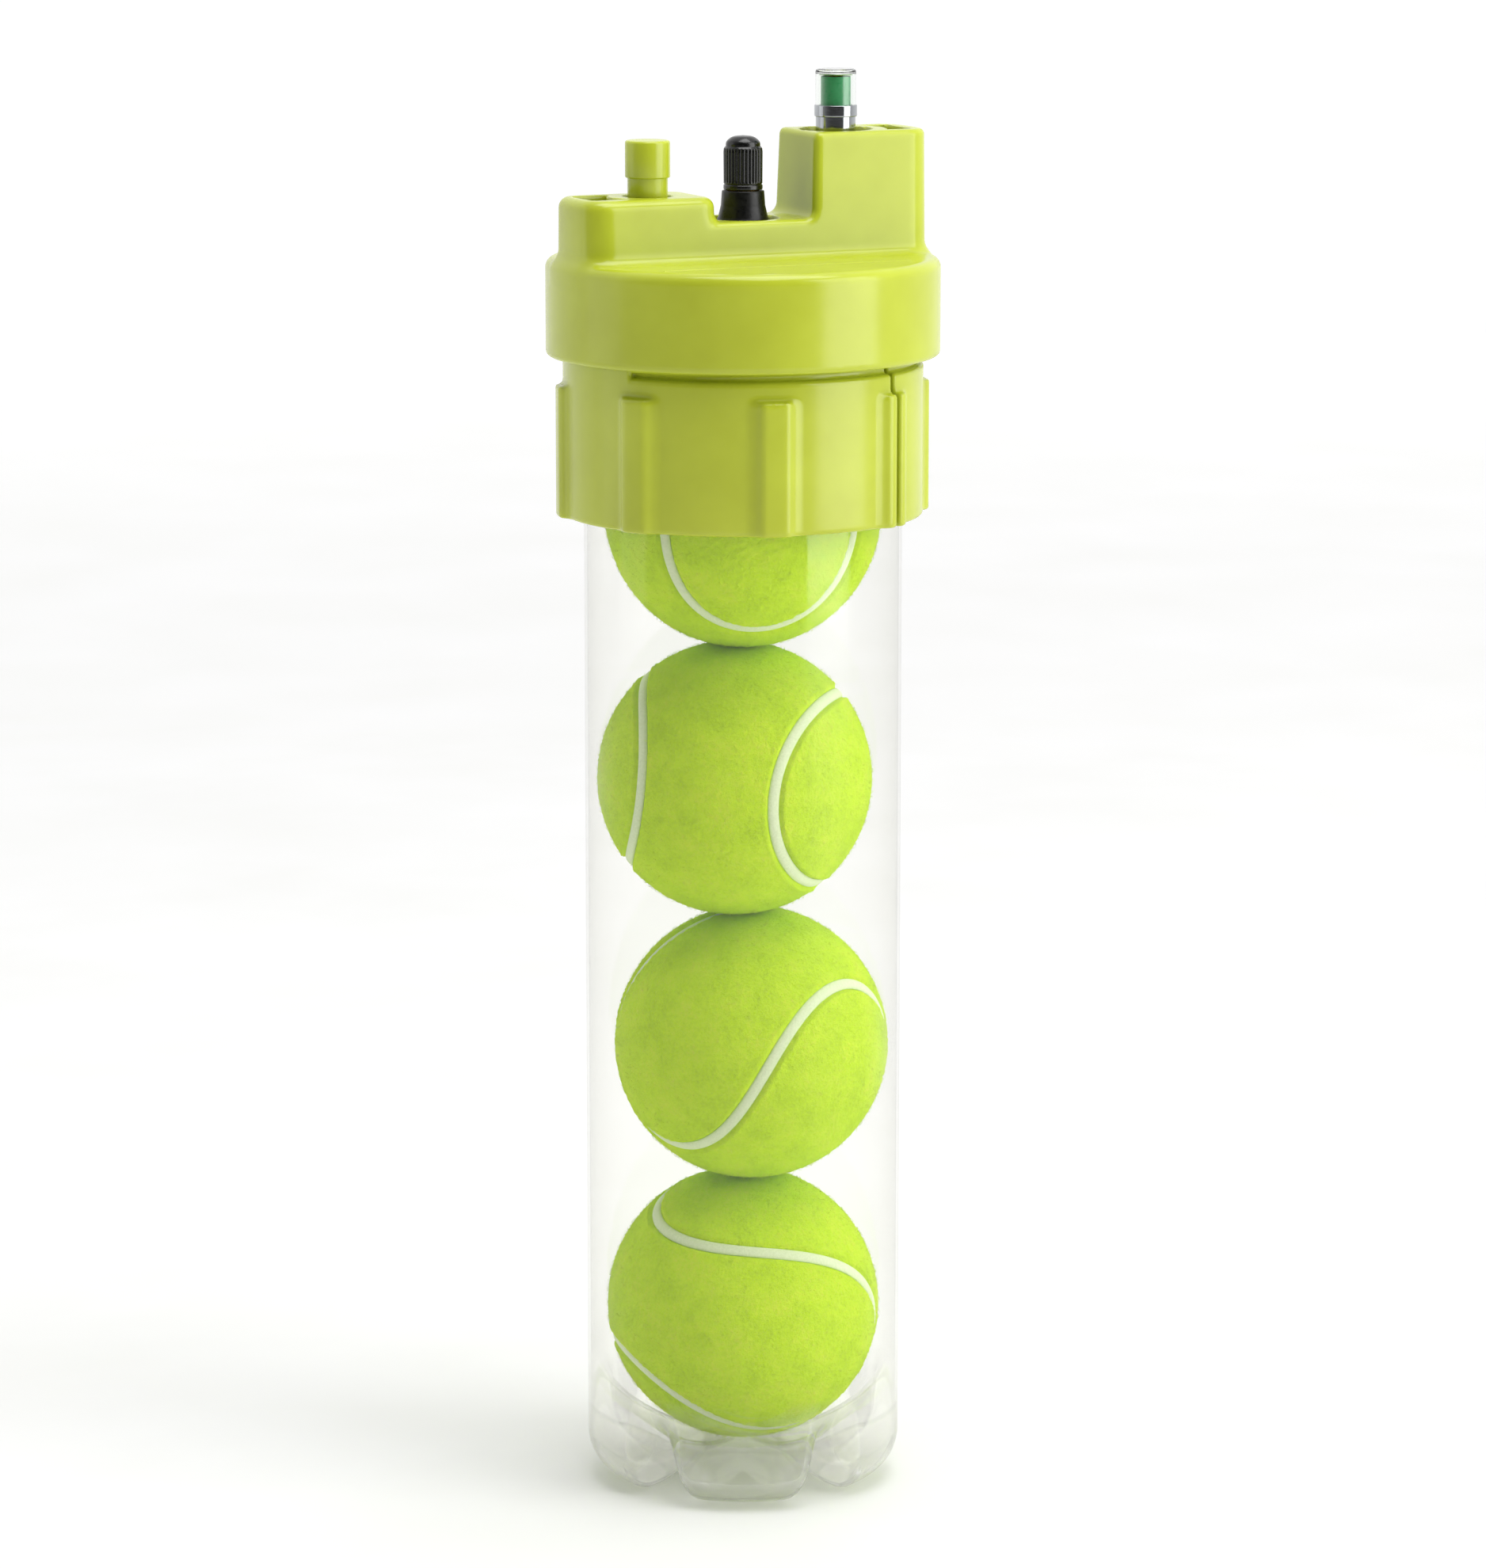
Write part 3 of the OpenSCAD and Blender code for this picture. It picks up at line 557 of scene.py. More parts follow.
# standard tyre valve thread
VALVE_PITCH = 0.79
VALVE_THREAD_DEPTH = 0.22

COLLAR_LOW, COLLAR_HIGH = span("split_collar")
COLLAR_R = 42.35
COLLAR_BORE_R = 37.75
# the collar's upper part, which carries the thread
NECK_H = 19
NECK_R = 40.5
NECK_CREST_R = 42.3
NECK_SINK = 3
COLLAR_THREAD_Z = COLLAR_HIGH[2] - NECK_H + 3.85
RIDGE_START = math.radians(-153)
RIDGE_END = math.radians(1017)
# the step that closes the lowest groove before the ridge starts
RAMP_INNER_R = 39.5
RAMP_ARC_R = 40
RAMP_SINK = 2
# the pocket that the can's rim lies in
RIM_POCKET_R = 39.3
RIM_POCKET_H = 3.2
SLIT_ANGLE = math.radians(-60)
SLIT_HALF = 0.6
# the ridge stops this far before and behind the slit's middle
RIDGE_BREAK_BEFORE = 1.0
RIDGE_BREAK_BEHIND = 2.3
RIB_COUNT = 8
RIB_R = 44.25
RIB_H = 31
RIB_FLAT_HALF = 3
RIB_FLANK = 0.9

CAP_LOW, CAP_HIGH = span("cap_shell")
CAP_INNER_R = 42.7
CAP_CREST_R = 41.0
CAP_RIDGE_END = math.radians(684)
PLATE_Z = span("cap_gasket")[1][2] + 0.05
PLATE_T = 3
TOP_Z = PLATE_Z + PLATE_T

# the bar on the cap, and the faces of its block and its tower
BAR_HALF = 11.6
BAR_DRAFT = 0.035
BAR_END_R = 44.5
MIDDLE_H = 9
BLOCK_H = 14.9
BLOCK_RIGHT = -11
TOWER_LEFT = 13.9
TOWER_DRAFT = 0.03
RECESS_FLOOR_H = 2

BUTTON_R = 5.25
BUTTON_X = span("release_button")[0][0] + BUTTON_R
BUTTON_WELL_R = 5.6
BUTTON_WELL_FLOOR_H = 2.9
ROD_HOLE_R = 2.56

VALVE_FLOOR_Z = TOP_Z + 5.5
VALVE_WELL_R = 8.3
INDICATOR_X = 24.0
INDICATOR_FLOOR_Z = TOP_Z + 2
INDICATOR_WELL_R = 8.5
# the panel that a valve is snapped into
PANEL_T = 3
PANEL_HOLE_R = 5.75
UNDER_WELL_R = 8.8

# the raised line on the cap's top
RULE_LEFT = -32
RULE_RIGHT = 31
RULE_Y = -26.0
RULE_HALF_WIDTH = 0.22
RULE_RISE = 0.13


# ---------------------------------------------------------------- cap and collar

def collar_field(x, y, z):
    """The split collar: a ribbed body under a threaded neck, open at the slit."""
    r, a = np.hypot(x, y), np.arctan2(y, x)
    low, top = COLLAR_LOW[2], COLLAR_HIGH[2]
    zone = top - NECK_H
    body = round_and(r - COLLAR_R, z - zone, 1.0)
    neck = np.maximum(round_and(r - NECK_R, z - top, 0.8), zone - NECK_SINK - z)
    solid = round_or(body, neck, 0.5)
    fold = math.radians(360 / RIB_COUNT)
    off = np.mod(a - SLIT_ANGLE + fold / 2, fold) - fold / 2
    along, across = r * np.cos(off), np.abs(r * np.sin(off))
    flank = (across - RIB_FLAT_HALF - (RIB_R - along) * RIB_FLANK) / math.hypot(1, RIB_FLANK)
    rib = round_and(round_and(flank, r - RIB_R, 0.6), z - low - RIB_H, 0.7)
    solid = round_and(round_or(solid, rib, 1.1), low - z, 0.7)
    ridge = helix_ridge(r, a, z, RIDGE_START, RIDGE_END, COLLAR_THREAD_Z, NECK_R, NECK_CREST_R)
    # the lowest groove stops where the ridge starts: before it the body reaches up to the ridge
    climb = np.mod(a - SLIT_ANGLE, 2 * math.pi) + SLIT_ANGLE
    ramp_top = COLLAR_THREAD_Z + PITCH * (climb / (2 * math.pi) - 1) + THREAD_CREST_HALF
    ramp = round_and(r - COLLAR_R, z - ramp_top, 0.4)
    ramp = round_and(ramp, (climb - RIDGE_START - 2 * math.pi) * RAMP_ARC_R, 0.3)
    ramp = np.maximum(ramp, np.maximum(RAMP_INNER_R - r, zone - RAMP_SINK - z))
    ahead = x * math.cos(SLIT_ANGLE) + y * math.sin(SLIT_ANGLE)
    beside = y * math.cos(SLIT_ANGLE) - x * math.sin(SLIT_ANGLE)
    gap = np.minimum(np.minimum(beside + RIDGE_BREAK_BEFORE, RIDGE_BREAK_BEHIND - beside), ahead)
    solid = round_or(solid, round_and(ridge, gap, 0.4), 0.35)
    solid = np.minimum(solid, ramp)
    hollow = np.minimum(r - COLLAR_BORE_R, np.maximum(r - RIM_POCKET_R, top - RIM_POCKET_H - z))
    solid = round_and(solid, -hollow, 0.4)
    slit = np.maximum(np.abs(beside) - SLIT_HALF, -ahead)
    return round_and(solid, -slit, 0.7)


def bar_field(x, y, z, r):
    """The raised bar: a low middle between the button's block and the indicator's tower."""
    side = np.abs(y) - BAR_HALF + BAR_DRAFT * (z - TOP_Z)
    plan = round_and(side, r - BAR_END_R, 5.0)
    above_middle = z - TOP_Z - MIDDLE_H
    to_tower = round_or(above_middle, TOWER_LEFT - x + TOWER_DRAFT * (z - CAP_HIGH[2]), 2.4)
    tower = round_and(round_and(plan, to_tower, 1.6), z - CAP_HIGH[2], 1.4)
    to_block = round_or(above_middle, x - BLOCK_RIGHT, 2.4)
    block = round_and(round_and(plan, to_block, 4.5), z - TOP_Z - BLOCK_H, 2.5)
    return np.maximum(np.minimum(tower, block), TOP_Z - PLATE_T - z)


def recess_field(x, y, z, r, side, end_r, half_width, well_x, arc):
    """A blind pocket at one end of the bar, which ends in an arc about the well beside it."""
    away = np.hypot(x - well_x, y)
    plan = round_and(round_and(r - end_r, np.abs(y) - half_width, 0.9), arc - away, 0.8)
    plan = np.maximum(plan, side * (well_x - x))
    return round_and(plan, TOP_Z + RECESS_FLOOR_H - z, 0.8)


def cap_field(x, y, z):
    """The screw cap: a hollow disc with its bar, inner ridge, wells, holes and recesses."""
    r, a = np.hypot(x, y), np.arctan2(y, x)
    disc = round_and(round_and(r - CAP_HIGH[0], z - TOP_Z, 2.4), CAP_LOW[2] - z, 1.2)
    solid = round_or(disc, bar_field(x, y, z, r), 2.8)
    cavity = round_and(r - CAP_INNER_R, z - PLATE_Z, 0.6)
    solid = round_and(solid, -cavity, 0.5)
    ridge_z = COLLAR_THREAD_Z + PITCH / 2
    ridge = helix_ridge(r, a, z, 0, CAP_RIDGE_END, ridge_z, CAP_INNER_R, CAP_CREST_R)
    solid = round_or(solid, ridge, 0.35)
    wells = [(0, VALVE_FLOOR_Z, VALVE_WELL_R), (INDICATOR_X, INDICATOR_FLOOR_Z, INDICATOR_WELL_R)]
    for well_x, floor_z, well_r in wells:
        away = np.hypot(x - well_x, y)
        solid = round_and(solid, np.minimum(well_r - away, z - floor_z), 0.35)
        solid = round_and(solid, PANEL_HOLE_R - away, 0.2)
        solid = round_and(solid, -np.maximum(away - UNDER_WELL_R, z - floor_z + PANEL_T), 0.3)
    away = np.hypot(x - BUTTON_X, y)
    button_well = np.maximum(away - BUTTON_WELL_R, TOP_Z + BUTTON_WELL_FLOOR_H - z)
    solid = round_and(solid, -button_well, 0.45)
    solid = np.maximum(solid, ROD_HOLE_R - away)
    block_recess = recess_field(
        x, y, z, r, side=-1, end_r=41.2, half_width=6.2, well_x=BUTTON_X, arc=9.6
    )
    tower_recess = recess_field(
        x, y, z, r, side=1, end_r=40.8, half_width=7.2, well_x=INDICATOR_X, arc=12.2
    )
    for recess in (block_recess, tower_recess):
        solid = round_and(solid, -recess, 0.4)
    return solid


def make_shells(plastic):
    """The collar and the cap, from their distance fields."""
    step = 0.66
    rim = 1.2
    points, faces = field_surface(collar_field, COLLAR_LOW - rim, COLLAR_HIGH + rim, step)
    piece("collar", points, faces, plastic, "can", ["split_collar"], sharp=50)
    points, faces = field_surface(cap_field, CAP_LOW - rim, CAP_HIGH + rim, step)
    piece("cap", points, faces, plastic, "cap", ["cap_shell"], sharp=50)


def make_rule(plastic):
    """A thin raised line on the cap's top, in front of the bar."""
    count = 40
    along = np.linspace(RULE_LEFT, RULE_RIGHT, count)
    path = np.stack([along, np.full(count, RULE_Y), np.full(count, TOP_Z)], 1)
    turn = np.linspace(0, 2 * math.pi, 10, endpoint=False)
    section = np.stack([RULE_HALF_WIDTH * np.cos(turn), RULE_RISE * np.sin(turn)], 1)
    side, up = np.tile([0, 1, 0], (count, 1)), np.tile([0, 0, 1], (count, 1))
    verts, faces = sweep(path, side, up, section, loop=False)
    piece("cap_rule", verts, faces, plastic, "cap")


# ---------------------------------------------------------------- can

CAN_R = 37.5
CAN_WALL = 0.7
FOOT_COUNT = 5
FOOT_TURN = math.radians(-115)
FOOT_RING_R = 25
FOOT_CORNER = 10.5
VALLEY_HALF = 9
VALLEY_TOP = 27
BASE_CENTRE_Z = 7.7
# how far the foot's curve runs level at both of its ends
FOOT_LEVEL = 9.0
# inside this radius the valleys keep their angle and not their width
VALLEY_MEET_R = 6


def evenly(points, count):
    """The open line through points, cut again into count points at equal distances."""
    along = np.concatenate([[0], np.cumsum(np.linalg.norm(np.diff(points, axis=0), axis=1))])
    at = np.linspace(0, along[-1], count)
    return np.stack([np.interp(at, along, points[:, c]) for c in range(2)], 1)


def make_can(pet):
    """The blown can: a round wall over feet and valleys that blend by angle."""
    rows, columns = 90, 240
    t = np.linspace(0, 1, 60)[:, None]
    start, end = np.array([0, BASE_CENTRE_Z]), np.array([FOOT_RING_R, 0])
    level = np.array([FOOT_LEVEL, 0])
    swell = ((1 - t) ** 3 * start + 3 * t * (1 - t) ** 2 * (start + level)
             + 3 * t ** 2 * (1 - t) * (end - level) + t ** 3 * end)
    bend = np.linspace(-math.pi / 2, 0, 30)
    corner = np.stack([CAN_R - FOOT_CORNER + FOOT_CORNER * np.cos(bend),
                       FOOT_CORNER + FOOT_CORNER * np.sin(bend)], 1)
    foot = evenly(np.concatenate([swell, corner, [[CAN_R, VALLEY_TOP]]]), rows)
    arch = np.linspace(0, math.pi / 2, 60)
    valley_z = VALLEY_TOP - (VALLEY_TOP - BASE_CENTRE_Z) * np.cos(arch)
    valley = evenly(np.stack([CAN_R * np.sin(arch), valley_z], 1), rows)
    angle = np.arange(columns) * 2 * math.pi / columns
    step = 2 * math.pi / FOOT_COUNT
    off = np.abs(np.mod(angle - FOOT_TURN, step) - step / 2)
    share = np.clip(off[None, :] * np.maximum(foot[:, :1], VALLEY_MEET_R) / VALLEY_HALF, 0, 1)
    share = (share * share * (3 - 2 * share))[:, :, None]
    base = valley[:, None] + (foot - valley)[:, None] * share
    mouth = span("can_body")[1][2]
    wall = [(CAN_R, z) for z in np.linspace(VALLEY_TOP + 10, mouth - 1.2, 14)]
    lip = span("can_body")[1][0]
    wall += [(lip - 0.2, mouth - 0.7), (lip, mouth - 0.5), (lip, mouth - 0.2), (lip - 0.2, mouth)]
    wall = np.repeat(np.array(wall)[:, None], columns, 1)
    outside = np.concatenate([base, wall])
    inner_wall = np.array([(CAN_R, mouth - CAN_WALL), (CAN_R, VALLEY_TOP + 12)])
    inner_wall = np.repeat(inner_wall[:, None], columns, 1)
    inside = np.concatenate([inner_wall, base[::-1]])
    inside = inside * [1 - CAN_WALL / CAN_R, 1] + [0, CAN_WALL]
    both = np.concatenate([outside, inside])
    verts = np.stack([both[..., 0] * np.cos(angle), both[..., 0] * np.sin(angle), both[..., 1]], -1)
    faces = [grid_faces(len(both), columns, closed_rows=False)]
    piece("clear_can", verts.reshape(-1, 3), faces, pet, "can", ["can_body"], sharp=60)


# ---------------------------------------------------------------- balls

BALL_R = 32.7
SEAM_HALF = 1.35
# how each ball lies in the can, as turns about X, Y and Z in degrees
BALL_TURNS = [(73, -32, -81), (-150, -7, 67), (95, -49, 138), (173, -2, -60)]
# the seam's groove, the curl of felt beside it, and the felt's tufts
GROOVE_DEPTH = 1.0
CURL_HEIGHT = 0.18
TUFT_HEIGHT = 0.22
TUFT_SCALE = 42
FIBRES = 9000
# no fibres this close to where two balls touch
CONTACT_ANGLE = math.radians(15)


def seam_line(turns):
    """Unit points along a tennis ball's seam, turned as the ball is."""
    t = np.linspace(0, 2 * math.pi, 720, endpoint=False)
    bulge = 0.25
    curve = np.stack([
        (1 - bulge) * np.cos(t) + bulge * np.cos(3 * t),
        (1 - bulge) * np.sin(t) - bulge * np.sin(3 * t),
        2 * math.sqrt(bulge * (1 - bulge)) * np.sin(2 * t),
    ], 1)
    turn = Euler([math.radians(d) for d in turns]).to_matrix()
    return curve @ np.array(turn).T


def seam_distance(units, seam):
    """Distance over the ball from each unit point to the seam."""
    nearest = np.concatenate([(part @ seam.T).max(1) for part in np.array_split(units, 8)])
    return BALL_R * np.arccos(np.clip(nearest, -1, 1))


def felt_surface(centre, seam, contacts):
    """Points and triangles of the felt: tufty, sunk along the seam, flat against the other balls."""
    ball = bmesh.new()
    bmesh.ops.create_icosphere(ball, subdivisions=7, radius=1)
    units = np.array([v.co for v in ball.verts])
    faces = np.array([[v.index for v in f.verts] for f in ball.faces])
    ball.free()
    tufts = np.array([noise.fractal(Vector(u) * TUFT_SCALE, 1.0, 2.0, 3) for u in units])
    away = seam_distance(units, seam)
    sunk = GROOVE_DEPTH * np.clip(1 - (away / (SEAM_HALF + 0.75)) ** 4, 0, 1)
    curl = CURL_HEIGHT * np.exp(-((away - SEAM_HALF - 1.1) / 0.6) ** 2)
    r = BALL_R - 0.12 + TUFT_HEIGHT * tufts - sunk + curl
    points = units * r[:, None]
    for contact in contacts:
        over = np.maximum(points @ contact - np.linalg.norm(contact) ** 2, 0) / (contact @ contact)
        points = points - over[:, None] * contact
    return centre + points, [faces]


def seam_strip(centre, seam):
    """The seam's rubber, as a flat oval band round the ball."""
    forward = np.roll(seam, -1, 0) - np.roll(seam, 1, 0)
    forward /= np.linalg.norm(forward, axis=1)[:, None]
    side = np.cross(seam, forward)
    turn = np.linspace(0, 2 * math.pi, 14, endpoint=False)
    section = np.stack([SEAM_HALF * np.cos(turn), 0.55 * np.sin(turn)], 1)
    return sweep(centre + seam * (BALL_R - 0.85), side, seam, section)


def nap(centre, seam, contacts, seed):
    """Short raised fibres as thin bent spikes."""
    rng = np.random.default_rng(seed)
    roots = rng.normal(size=(FIBRES, 3))
    roots /= np.linalg.norm(roots, axis=1)[:, None]
    keep = seam_distance(roots, seam) > SEAM_HALF + 0.6
    for contact in contacts:
        keep &= roots @ contact / np.linalg.norm(contact) < math.cos(CONTACT_ANGLE)
    roots = roots[keep]
    count = len(roots)
    lie = np.cross(roots, rng.normal(size=(count, 3)))
    lie /= np.linalg.norm(lie, axis=1)[:, None]
    other = np.cross(roots, lie)
    length = rng.uniform(0.6, 1.5, (count, 1))
    lift = rng.uniform(0.25, 0.6, (count, 1))
    base = roots * (BALL_R - 0.25)
    middle = base + length * 0.55 * (roots * (lift + 0.25) + lie * 0.75)
    sway = rng.uniform(-0.6, 0.6, (count, 1))
    tip = middle + length * 0.55 * (roots * lift * 0.4 + lie * 0.8 + other * sway)
    rings = []
    for place, thick in ((base, 0.055), (middle, 0.04)):
        for k in range(3):
            turn = 2 * math.pi * k / 3
            rings.append(place + thick * (math.cos(turn) * other + math.sin(turn) * roots))
    points = np.stack(rings + [tip], 1).reshape(-1, 3)
    start = np.arange(count)[:, None] * 7
    quads = np.concatenate([start + [k, (k + 1) % 3, 3 + (k + 1) % 3, 3 + k] for k in range(3)])
    ends = np.concatenate([start + [3 + k, 3 + (k + 1) % 3, 6] for k in range(3)] + [start + [2, 1, 0]])
    return centre + points, [quads, ends]


def make_balls():
    felt = ball_felt("ball_felt", "#c2e80c", "#d8fe18", "#eaff3e")
    fibre = ball_felt("ball_nap", "#d4f820", "#e6ff40", "#f4ff78")
    strip = seam_rubber()
    centres = [sum(span(f"ball_{k}_core")) / 2 for k in range(1, 5)]
    for k, centre in enumerate(centres):
        body = f"ball_{k + 1}"
        contacts = [(centres[n] - centre) / 2 * 0.995 for n in (k - 1, k + 1) if 0 <= n < 4]
        seam = seam_line(BALL_TURNS[k])
        points, faces = felt_surface(centre, seam, contacts)
        piece(f"{body}_cover", points, faces, felt, body, [f"{body}_felt"], sharp=180)
        points, faces = seam_strip(centre, seam)
        piece(f"{body}_seam", points, faces, strip, body, sharp=180)
        points, faces = nap(centre, seam, contacts, seed=k + 1)
        piece(f"{body}_nap", points, faces, fibre, body, sharp=180)


# ---------------------------------------------------------------- small parts

def make_button(plastic):
    """A round head on a narrower neck, with the socket for its rod."""
    low, high = span("release_button")
    head = high[2] - 8.6
    outline = rounded([
        (0, high[2], 0), (BUTTON_R, high[2], 0.6), (BUTTON_R, head, 0.3), (4.7, head, 0.15),
        (4.7, low[2], 0.4), (2.5, low[2], 0.2), (2.5, low[2] + 8, 0), (0, low[2] + 8, 0),
    ])
    verts, faces = lathe(outline, centre=(BUTTON_X, 0))
    piece("button", verts, faces, plastic, "button", ["release_button"])


def make_valve_rubber(name, x, floor_z, rubber):
    """Snap-in valve body: a flange under the panel, a groove, a bell and a neck."""
    corners = [
        (3, -6.2, 0), (8.4, -6.2, 0.8), (8.4, -3, 0.3), (5.7, -3, 0), (5.7, 0, 0), (8, 0, 0.5),
        (8, 0.9, 0.6), (5.9, 3.4, 2.5), (5.2, 6.4, 3.0), (4.95, 9.9, 0.3), (3, 9.9, 0),
    ]
    verts, faces = lathe(rounded([(r, floor_z + z, edge) for r, z, edge in corners]), centre=(x, 0))
    piece(f"{name}_body", verts, faces, rubber, "cap", [name])


def make_stem(name, x, floor_z, height, brass):
    """Brass tube with the valve's fine outer thread."""
    seat = height - 8.6
    corners = [
        (3, -6.2, 0), (3, 9.9, 0), (3.85, 9.9, 0.15), (3.85, height, 0.35), (2.5, height, 0.15),
        (2.5, seat, 0), (2.1, seat, 0), (2.1, -6.2, 0),
    ]
    outline = subdivided(rounded([(r, floor_z + z, edge) for r, z, edge in corners], 3), 0.13)

    def threaded(r, z, a):
        depth = VALVE_THREAD_DEPTH * (1 + np.cos(2 * math.pi * z / VALVE_PITCH - a))
        on_thread = (r > 3.5) & (z > floor_z + 10.4) & (z < floor_z + height - 0.5)
        return np.where(on_thread, r - depth, r)

    verts, faces = lathe(outline, centre=(x, 0), segments=72, shape=threaded)
    piece(f"{name}_tube", verts, faces, brass, "cap", [name])


def make_valve_spring(steel):
    """The coil under the core pin's head, built at one fixed length; the real coil flattens as the pin
    is pressed.
    """
    low, high = span("valve_spring")
    wire, turns, travel = 0.15, 4, 1.5
    turn = np.linspace(0, 2 * math.pi * turns, 40 * turns)
    outward = np.stack([np.cos(turn), np.sin(turn), 0 * turn], 1)
    rise = np.linspace(low[2] + wire, high[2] - wire, len(turn))
    path = outward * (high[0] - wire) + rise[:, None] * [0, 0, 1]
    around = np.linspace(0, 2 * math.pi, 10, endpoint=False)
    section = wire * np.stack([np.cos(around), np.sin(around)], 1)
    verts, faces = sweep(path, outward, np.tile([0, 0, 1], (len(turn), 1)), section, loop=False)
    spring = piece("valve_coil", verts, faces, steel, "cap", ["valve_spring"])
    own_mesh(spring)


def make_dust_cap(plastic):
    """The valve's cap: a fluted skirt under a domed knob."""
    low, high = span("dust_cap")
    z0, z1 = low[2], high[2]
    roof = z0 + 10.1
    corners = [
        (0, z1, 0), (2.6, z1 - 0.25, 3.0), (4.05, z1 - 1.5, 1.4), (4.05, z1 - 2.5, 0.2),
        (4.5, z1 - 3.0, 0.3), (4.6, z1 - 3.8, 0.2), (4.55, z0 + 1.5, 0.2), (4.35, z0 + 1.25, 0.1),
        (4.6, z0 + 1.0, 0.15),
        (4.6, z0, 0.25), (3.93, z0, 0.1), (3.93, roof, 0), (0, roof, 0),
    ]

    def fluted(r, z, a):
        cut = np.abs(np.sin(15 * a)) ** 0.6
        zone = np.clip((z - z0 - 1.6) / 0.3, 0, 1) * np.clip((z1 - 2.9 - z) / 0.25, 0, 1)
        return np.where(r > 4.2, r - 0.26 * zone * (1 - cut), r)

    outline = subdivided(rounded(corners, 6), 0.35)
    verts, faces = lathe(outline, segments=360, shape=fluted)
    piece("valve_dust_cap", verts, faces, plastic, "dust_cap", ["dust_cap"], sharp=30)


def make_indicator(chrome):
    """The indicator's metal parts: its knurled base, the ring with a slot, and the dial's stud."""
    low, high = span("indicator_base")
    shoulder = CAP_HIGH[2] - 1
    carrier = low[2] + 7.4
    corners = [
        (3.93, low[2], 0.1), (5.45, low[2], 0.35), (5.45, shoulder, 0.35), (4.7, shoulder, 0.1),
        (4.7, high[2], 0), (4.25, high[2], 0), (4.25, carrier + 0.9, 0), (0.9, carrier + 0.9, 0),
        (0.9, carrier, 0), (3.93, carrier, 0),
    ]

    def knurled(r, z, a):
        tooth = np.abs(np.mod(a * 20 / math.pi, 1) - 0.5) * 2
        return np.where(r > 4.9, r - 0.3 * tooth ** 2, r)

    outline = subdivided(rounded(corners), 1.0)
    verts, faces = lathe(outline, centre=(INDICATOR_X, 0), segments=480, shape=knurled)
    stands_for = ["indicator_base"]
    piece("indicator_knurled_base", verts, faces, chrome, "indicator", stands_for, sharp=30)

    low, high = span("indicator_ring")
    inner = low[2] + 0.5
    corners = [
        (4.3, low[2], 0), (5.05, low[2], 0.2), (5.05, high[2], 0.2), (4.8, high[2], 0.05),
        (4.8, inner, 0), (4.3, inner, 0),
    ]
    slot_angle, slot_z = math.radians(-147), (low[2] + high[2]) / 2

    def slotted(r, z, a):
        in_slot = (np.abs(a - slot_angle) < 0.11) & (np.abs(z - slot_z) < 0.85)
        return np.where((r > 5) & in_slot, r - 0.22, r)

    outline = subdivided(rounded(corners), 0.2)
    verts, faces = lathe(outline, centre=(INDICATOR_X, 0), segments=180, shape=slotted)
    piece("indicator_collar_ring", verts, faces, chrome, "indicator", ["indicator_ring"])

    top = span("indicator_dial")[1][2]
    corners = [(0, top + 0.08, 0), (0.5, top + 0.08, 0.06), (0.5, top - 0.1, 0), (0, top - 0.1, 0)]
    verts, faces = lathe(rounded(corners), centre=(INDICATOR_X, 0), segments=40)
    piece("indicator_dial_stud", verts, faces, chrome, "indicator")


def make_lens(acrylic):
    """A clear cup, upside down."""
    low, high = span("indicator_lens")
    roof = high[2] - 1
    corners = [
        (3.6, low[2], 0), (4.8, low[2], 0.1), (4.8, high[2], 0.8), (0, high[2], 0), (0, roof, 0),
        (4.05, roof, 0.3), (4.05, low[2] + 0.6, 0), (3.6, low[2] + 0.6, 0),
    ]
    verts, faces = lathe(rounded(corners, 8), centre=(INDICATOR_X, 0), segments=128)
    piece("indicator_clear_lens", verts, faces, acrylic, "indicator", ["indicator_lens"])


def make_sleeves(green, red, amber):
    """The coloured parts that show the pressure through the lens."""
    low, high = span("green_sleeve")
    corners = [
        (3.05, low[2], 0.1), (4.05, low[2], 0.15), (4.05, low[2] + 0.6, 0.15), (3.5, low[2] + 0.6, 0.1),
        (3.5, high[2], 0.15), (3.05, high[2], 0.1),
    ]
    verts, faces = lathe(rounded(corners), centre=(INDICATOR_X, 0))
    piece("green_sleeve_band", verts, faces, green, "pressure_sleeve", ["green_sleeve"])
    low, high = span("red_sleeve")
    corners = [(1.6, low[2], 0), (2.7, low[2], 0.2), (2.7, high[2], 0.2), (1.6, high[2], 0.1)]
    verts, faces = lathe(rounded(corners), centre=(INDICATOR_X, 0))
    piece("red_sleeve_band", verts, faces, red, "indicator", ["red_sleeve"])
    low, high = span("amber_pin")
    corners = [(0, high[2], 0), (1.5, high[2], 0.4), (1.5, low[2], 0.1), (0, low[2], 0)]
    verts, faces = lathe(rounded(corners), centre=(INDICATOR_X, 0))
    piece("amber_centre_pin", verts, faces, amber, "indicator", ["amber_pin"])


def repaint(material, *nodes):
    """A CAD node that stays gets a finished material."""
    for name in nodes:
        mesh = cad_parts[name].data
        mesh.materials.clear()
        mesh.materials.append(material)


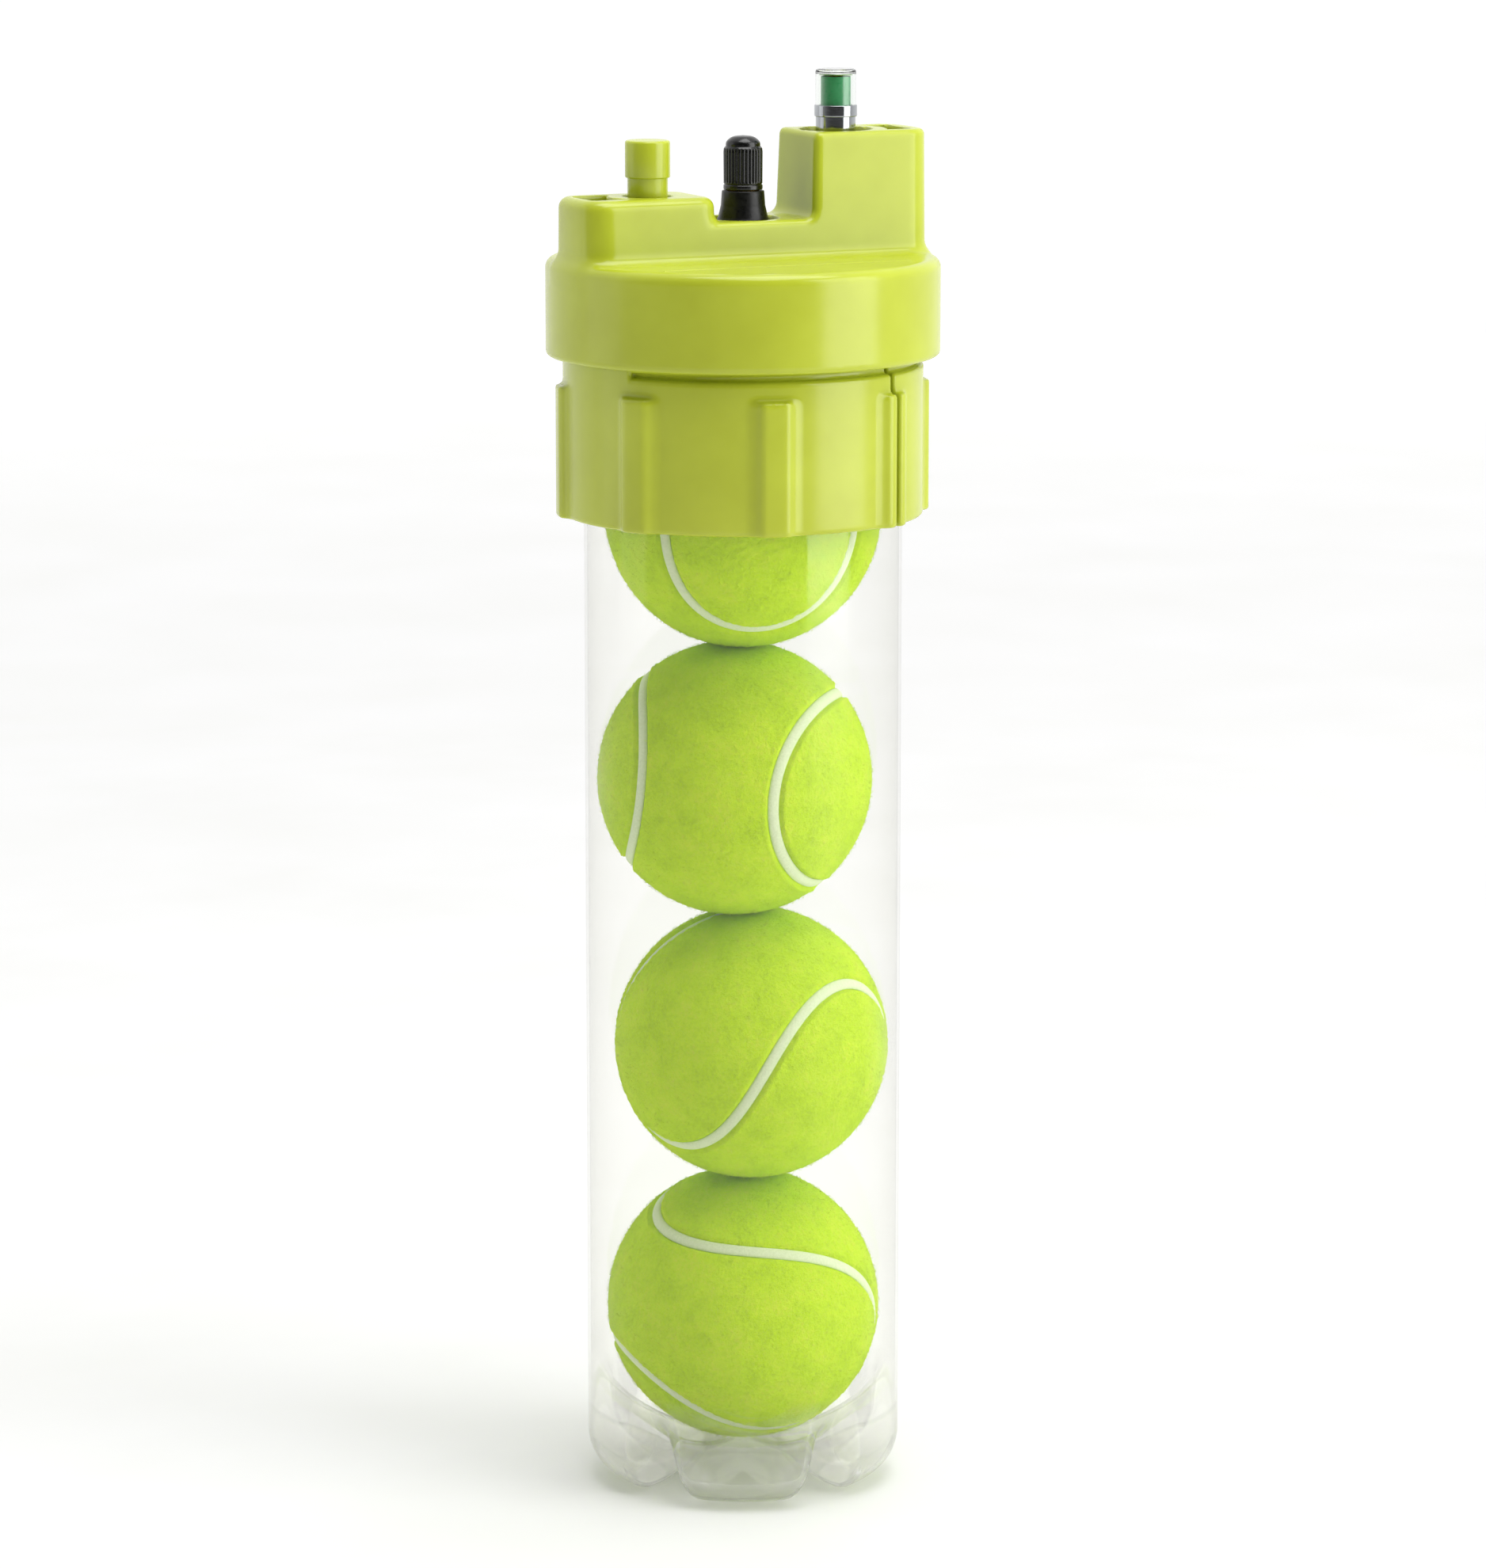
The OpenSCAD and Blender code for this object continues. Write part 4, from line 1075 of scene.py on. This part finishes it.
# ---------------------------------------------------------------- the whole object

middle = Vector((0, 0, (CAD_BOX[0].z + CAD_BOX[1].z) / 2))
make_camera(middle)
make_studio(middle)
make_floor()

lime = lime_plastic()
make_shells(lime)
make_rule(lime)
make_button(lime)
make_can(clear_pet())
make_balls()

rubber = soft_rubber("black_rubber", "#060606", "#0c0c0b", 0.26, 0.42)
brass = metal("brass", "#a98a48", "#c2a35c", 0.22, 0.42)
make_valve_rubber("valve_rubber", 0, VALVE_FLOOR_Z, rubber)
make_valve_rubber("indicator_valve_rubber", INDICATOR_X, INDICATOR_FLOOR_Z, rubber)
make_stem("valve_stem", 0, VALVE_FLOOR_Z, height=19.2, brass=brass)
make_stem("indicator_valve_stem", INDICATOR_X, INDICATOR_FLOOR_Z, height=17.2, brass=brass)
make_dust_cap(hard_plastic("black_plastic", "#050505", "#0a0a0a", 0.14, 0.3))

make_indicator(metal("chrome", "#a4a7aa", "#b8bbbe", 0.04, 0.12))
make_lens(clear_acrylic())
make_sleeves(
    hard_plastic("green_plastic", "#3fa865", "#55bd7c", 0.25, 0.4),
    hard_plastic("red_plastic", "#d05a3c", "#dd6e4a", 0.25, 0.4),
    hard_plastic("amber_plastic", "#d99a2b", "#e8b04a", 0.25, 0.4),
)
repaint(hard_plastic("dial_green", "#5c9a10", "#74b31a", 0.3, 0.5), "indicator_dial")
core_nodes = [f"ball_{k}_core" for k in range(1, 5)]
repaint(soft_rubber("ball_rubber", "#2a2a27", "#3a3a35", 0.6, 0.8), *core_nodes)
repaint(soft_rubber("gasket_rubber", "#161617", "#222224", 0.5, 0.7), "cap_gasket", "button_seal",
        "dust_cap_seal", "indicator_washer", "indicator_diaphragm")
repaint(metal("rim_aluminium", "#c4c6c8", "#d4d6d7", 0.25, 0.45), "can_rim")
steel = metal("steel", "#a9abae", "#bcbec1", 0.2, 0.38)
make_valve_spring(steel)
repaint(steel, "button_rod", "indicator_spring")
repaint(brass, "valve_core", "valve_pin", "indicator_valve_core")
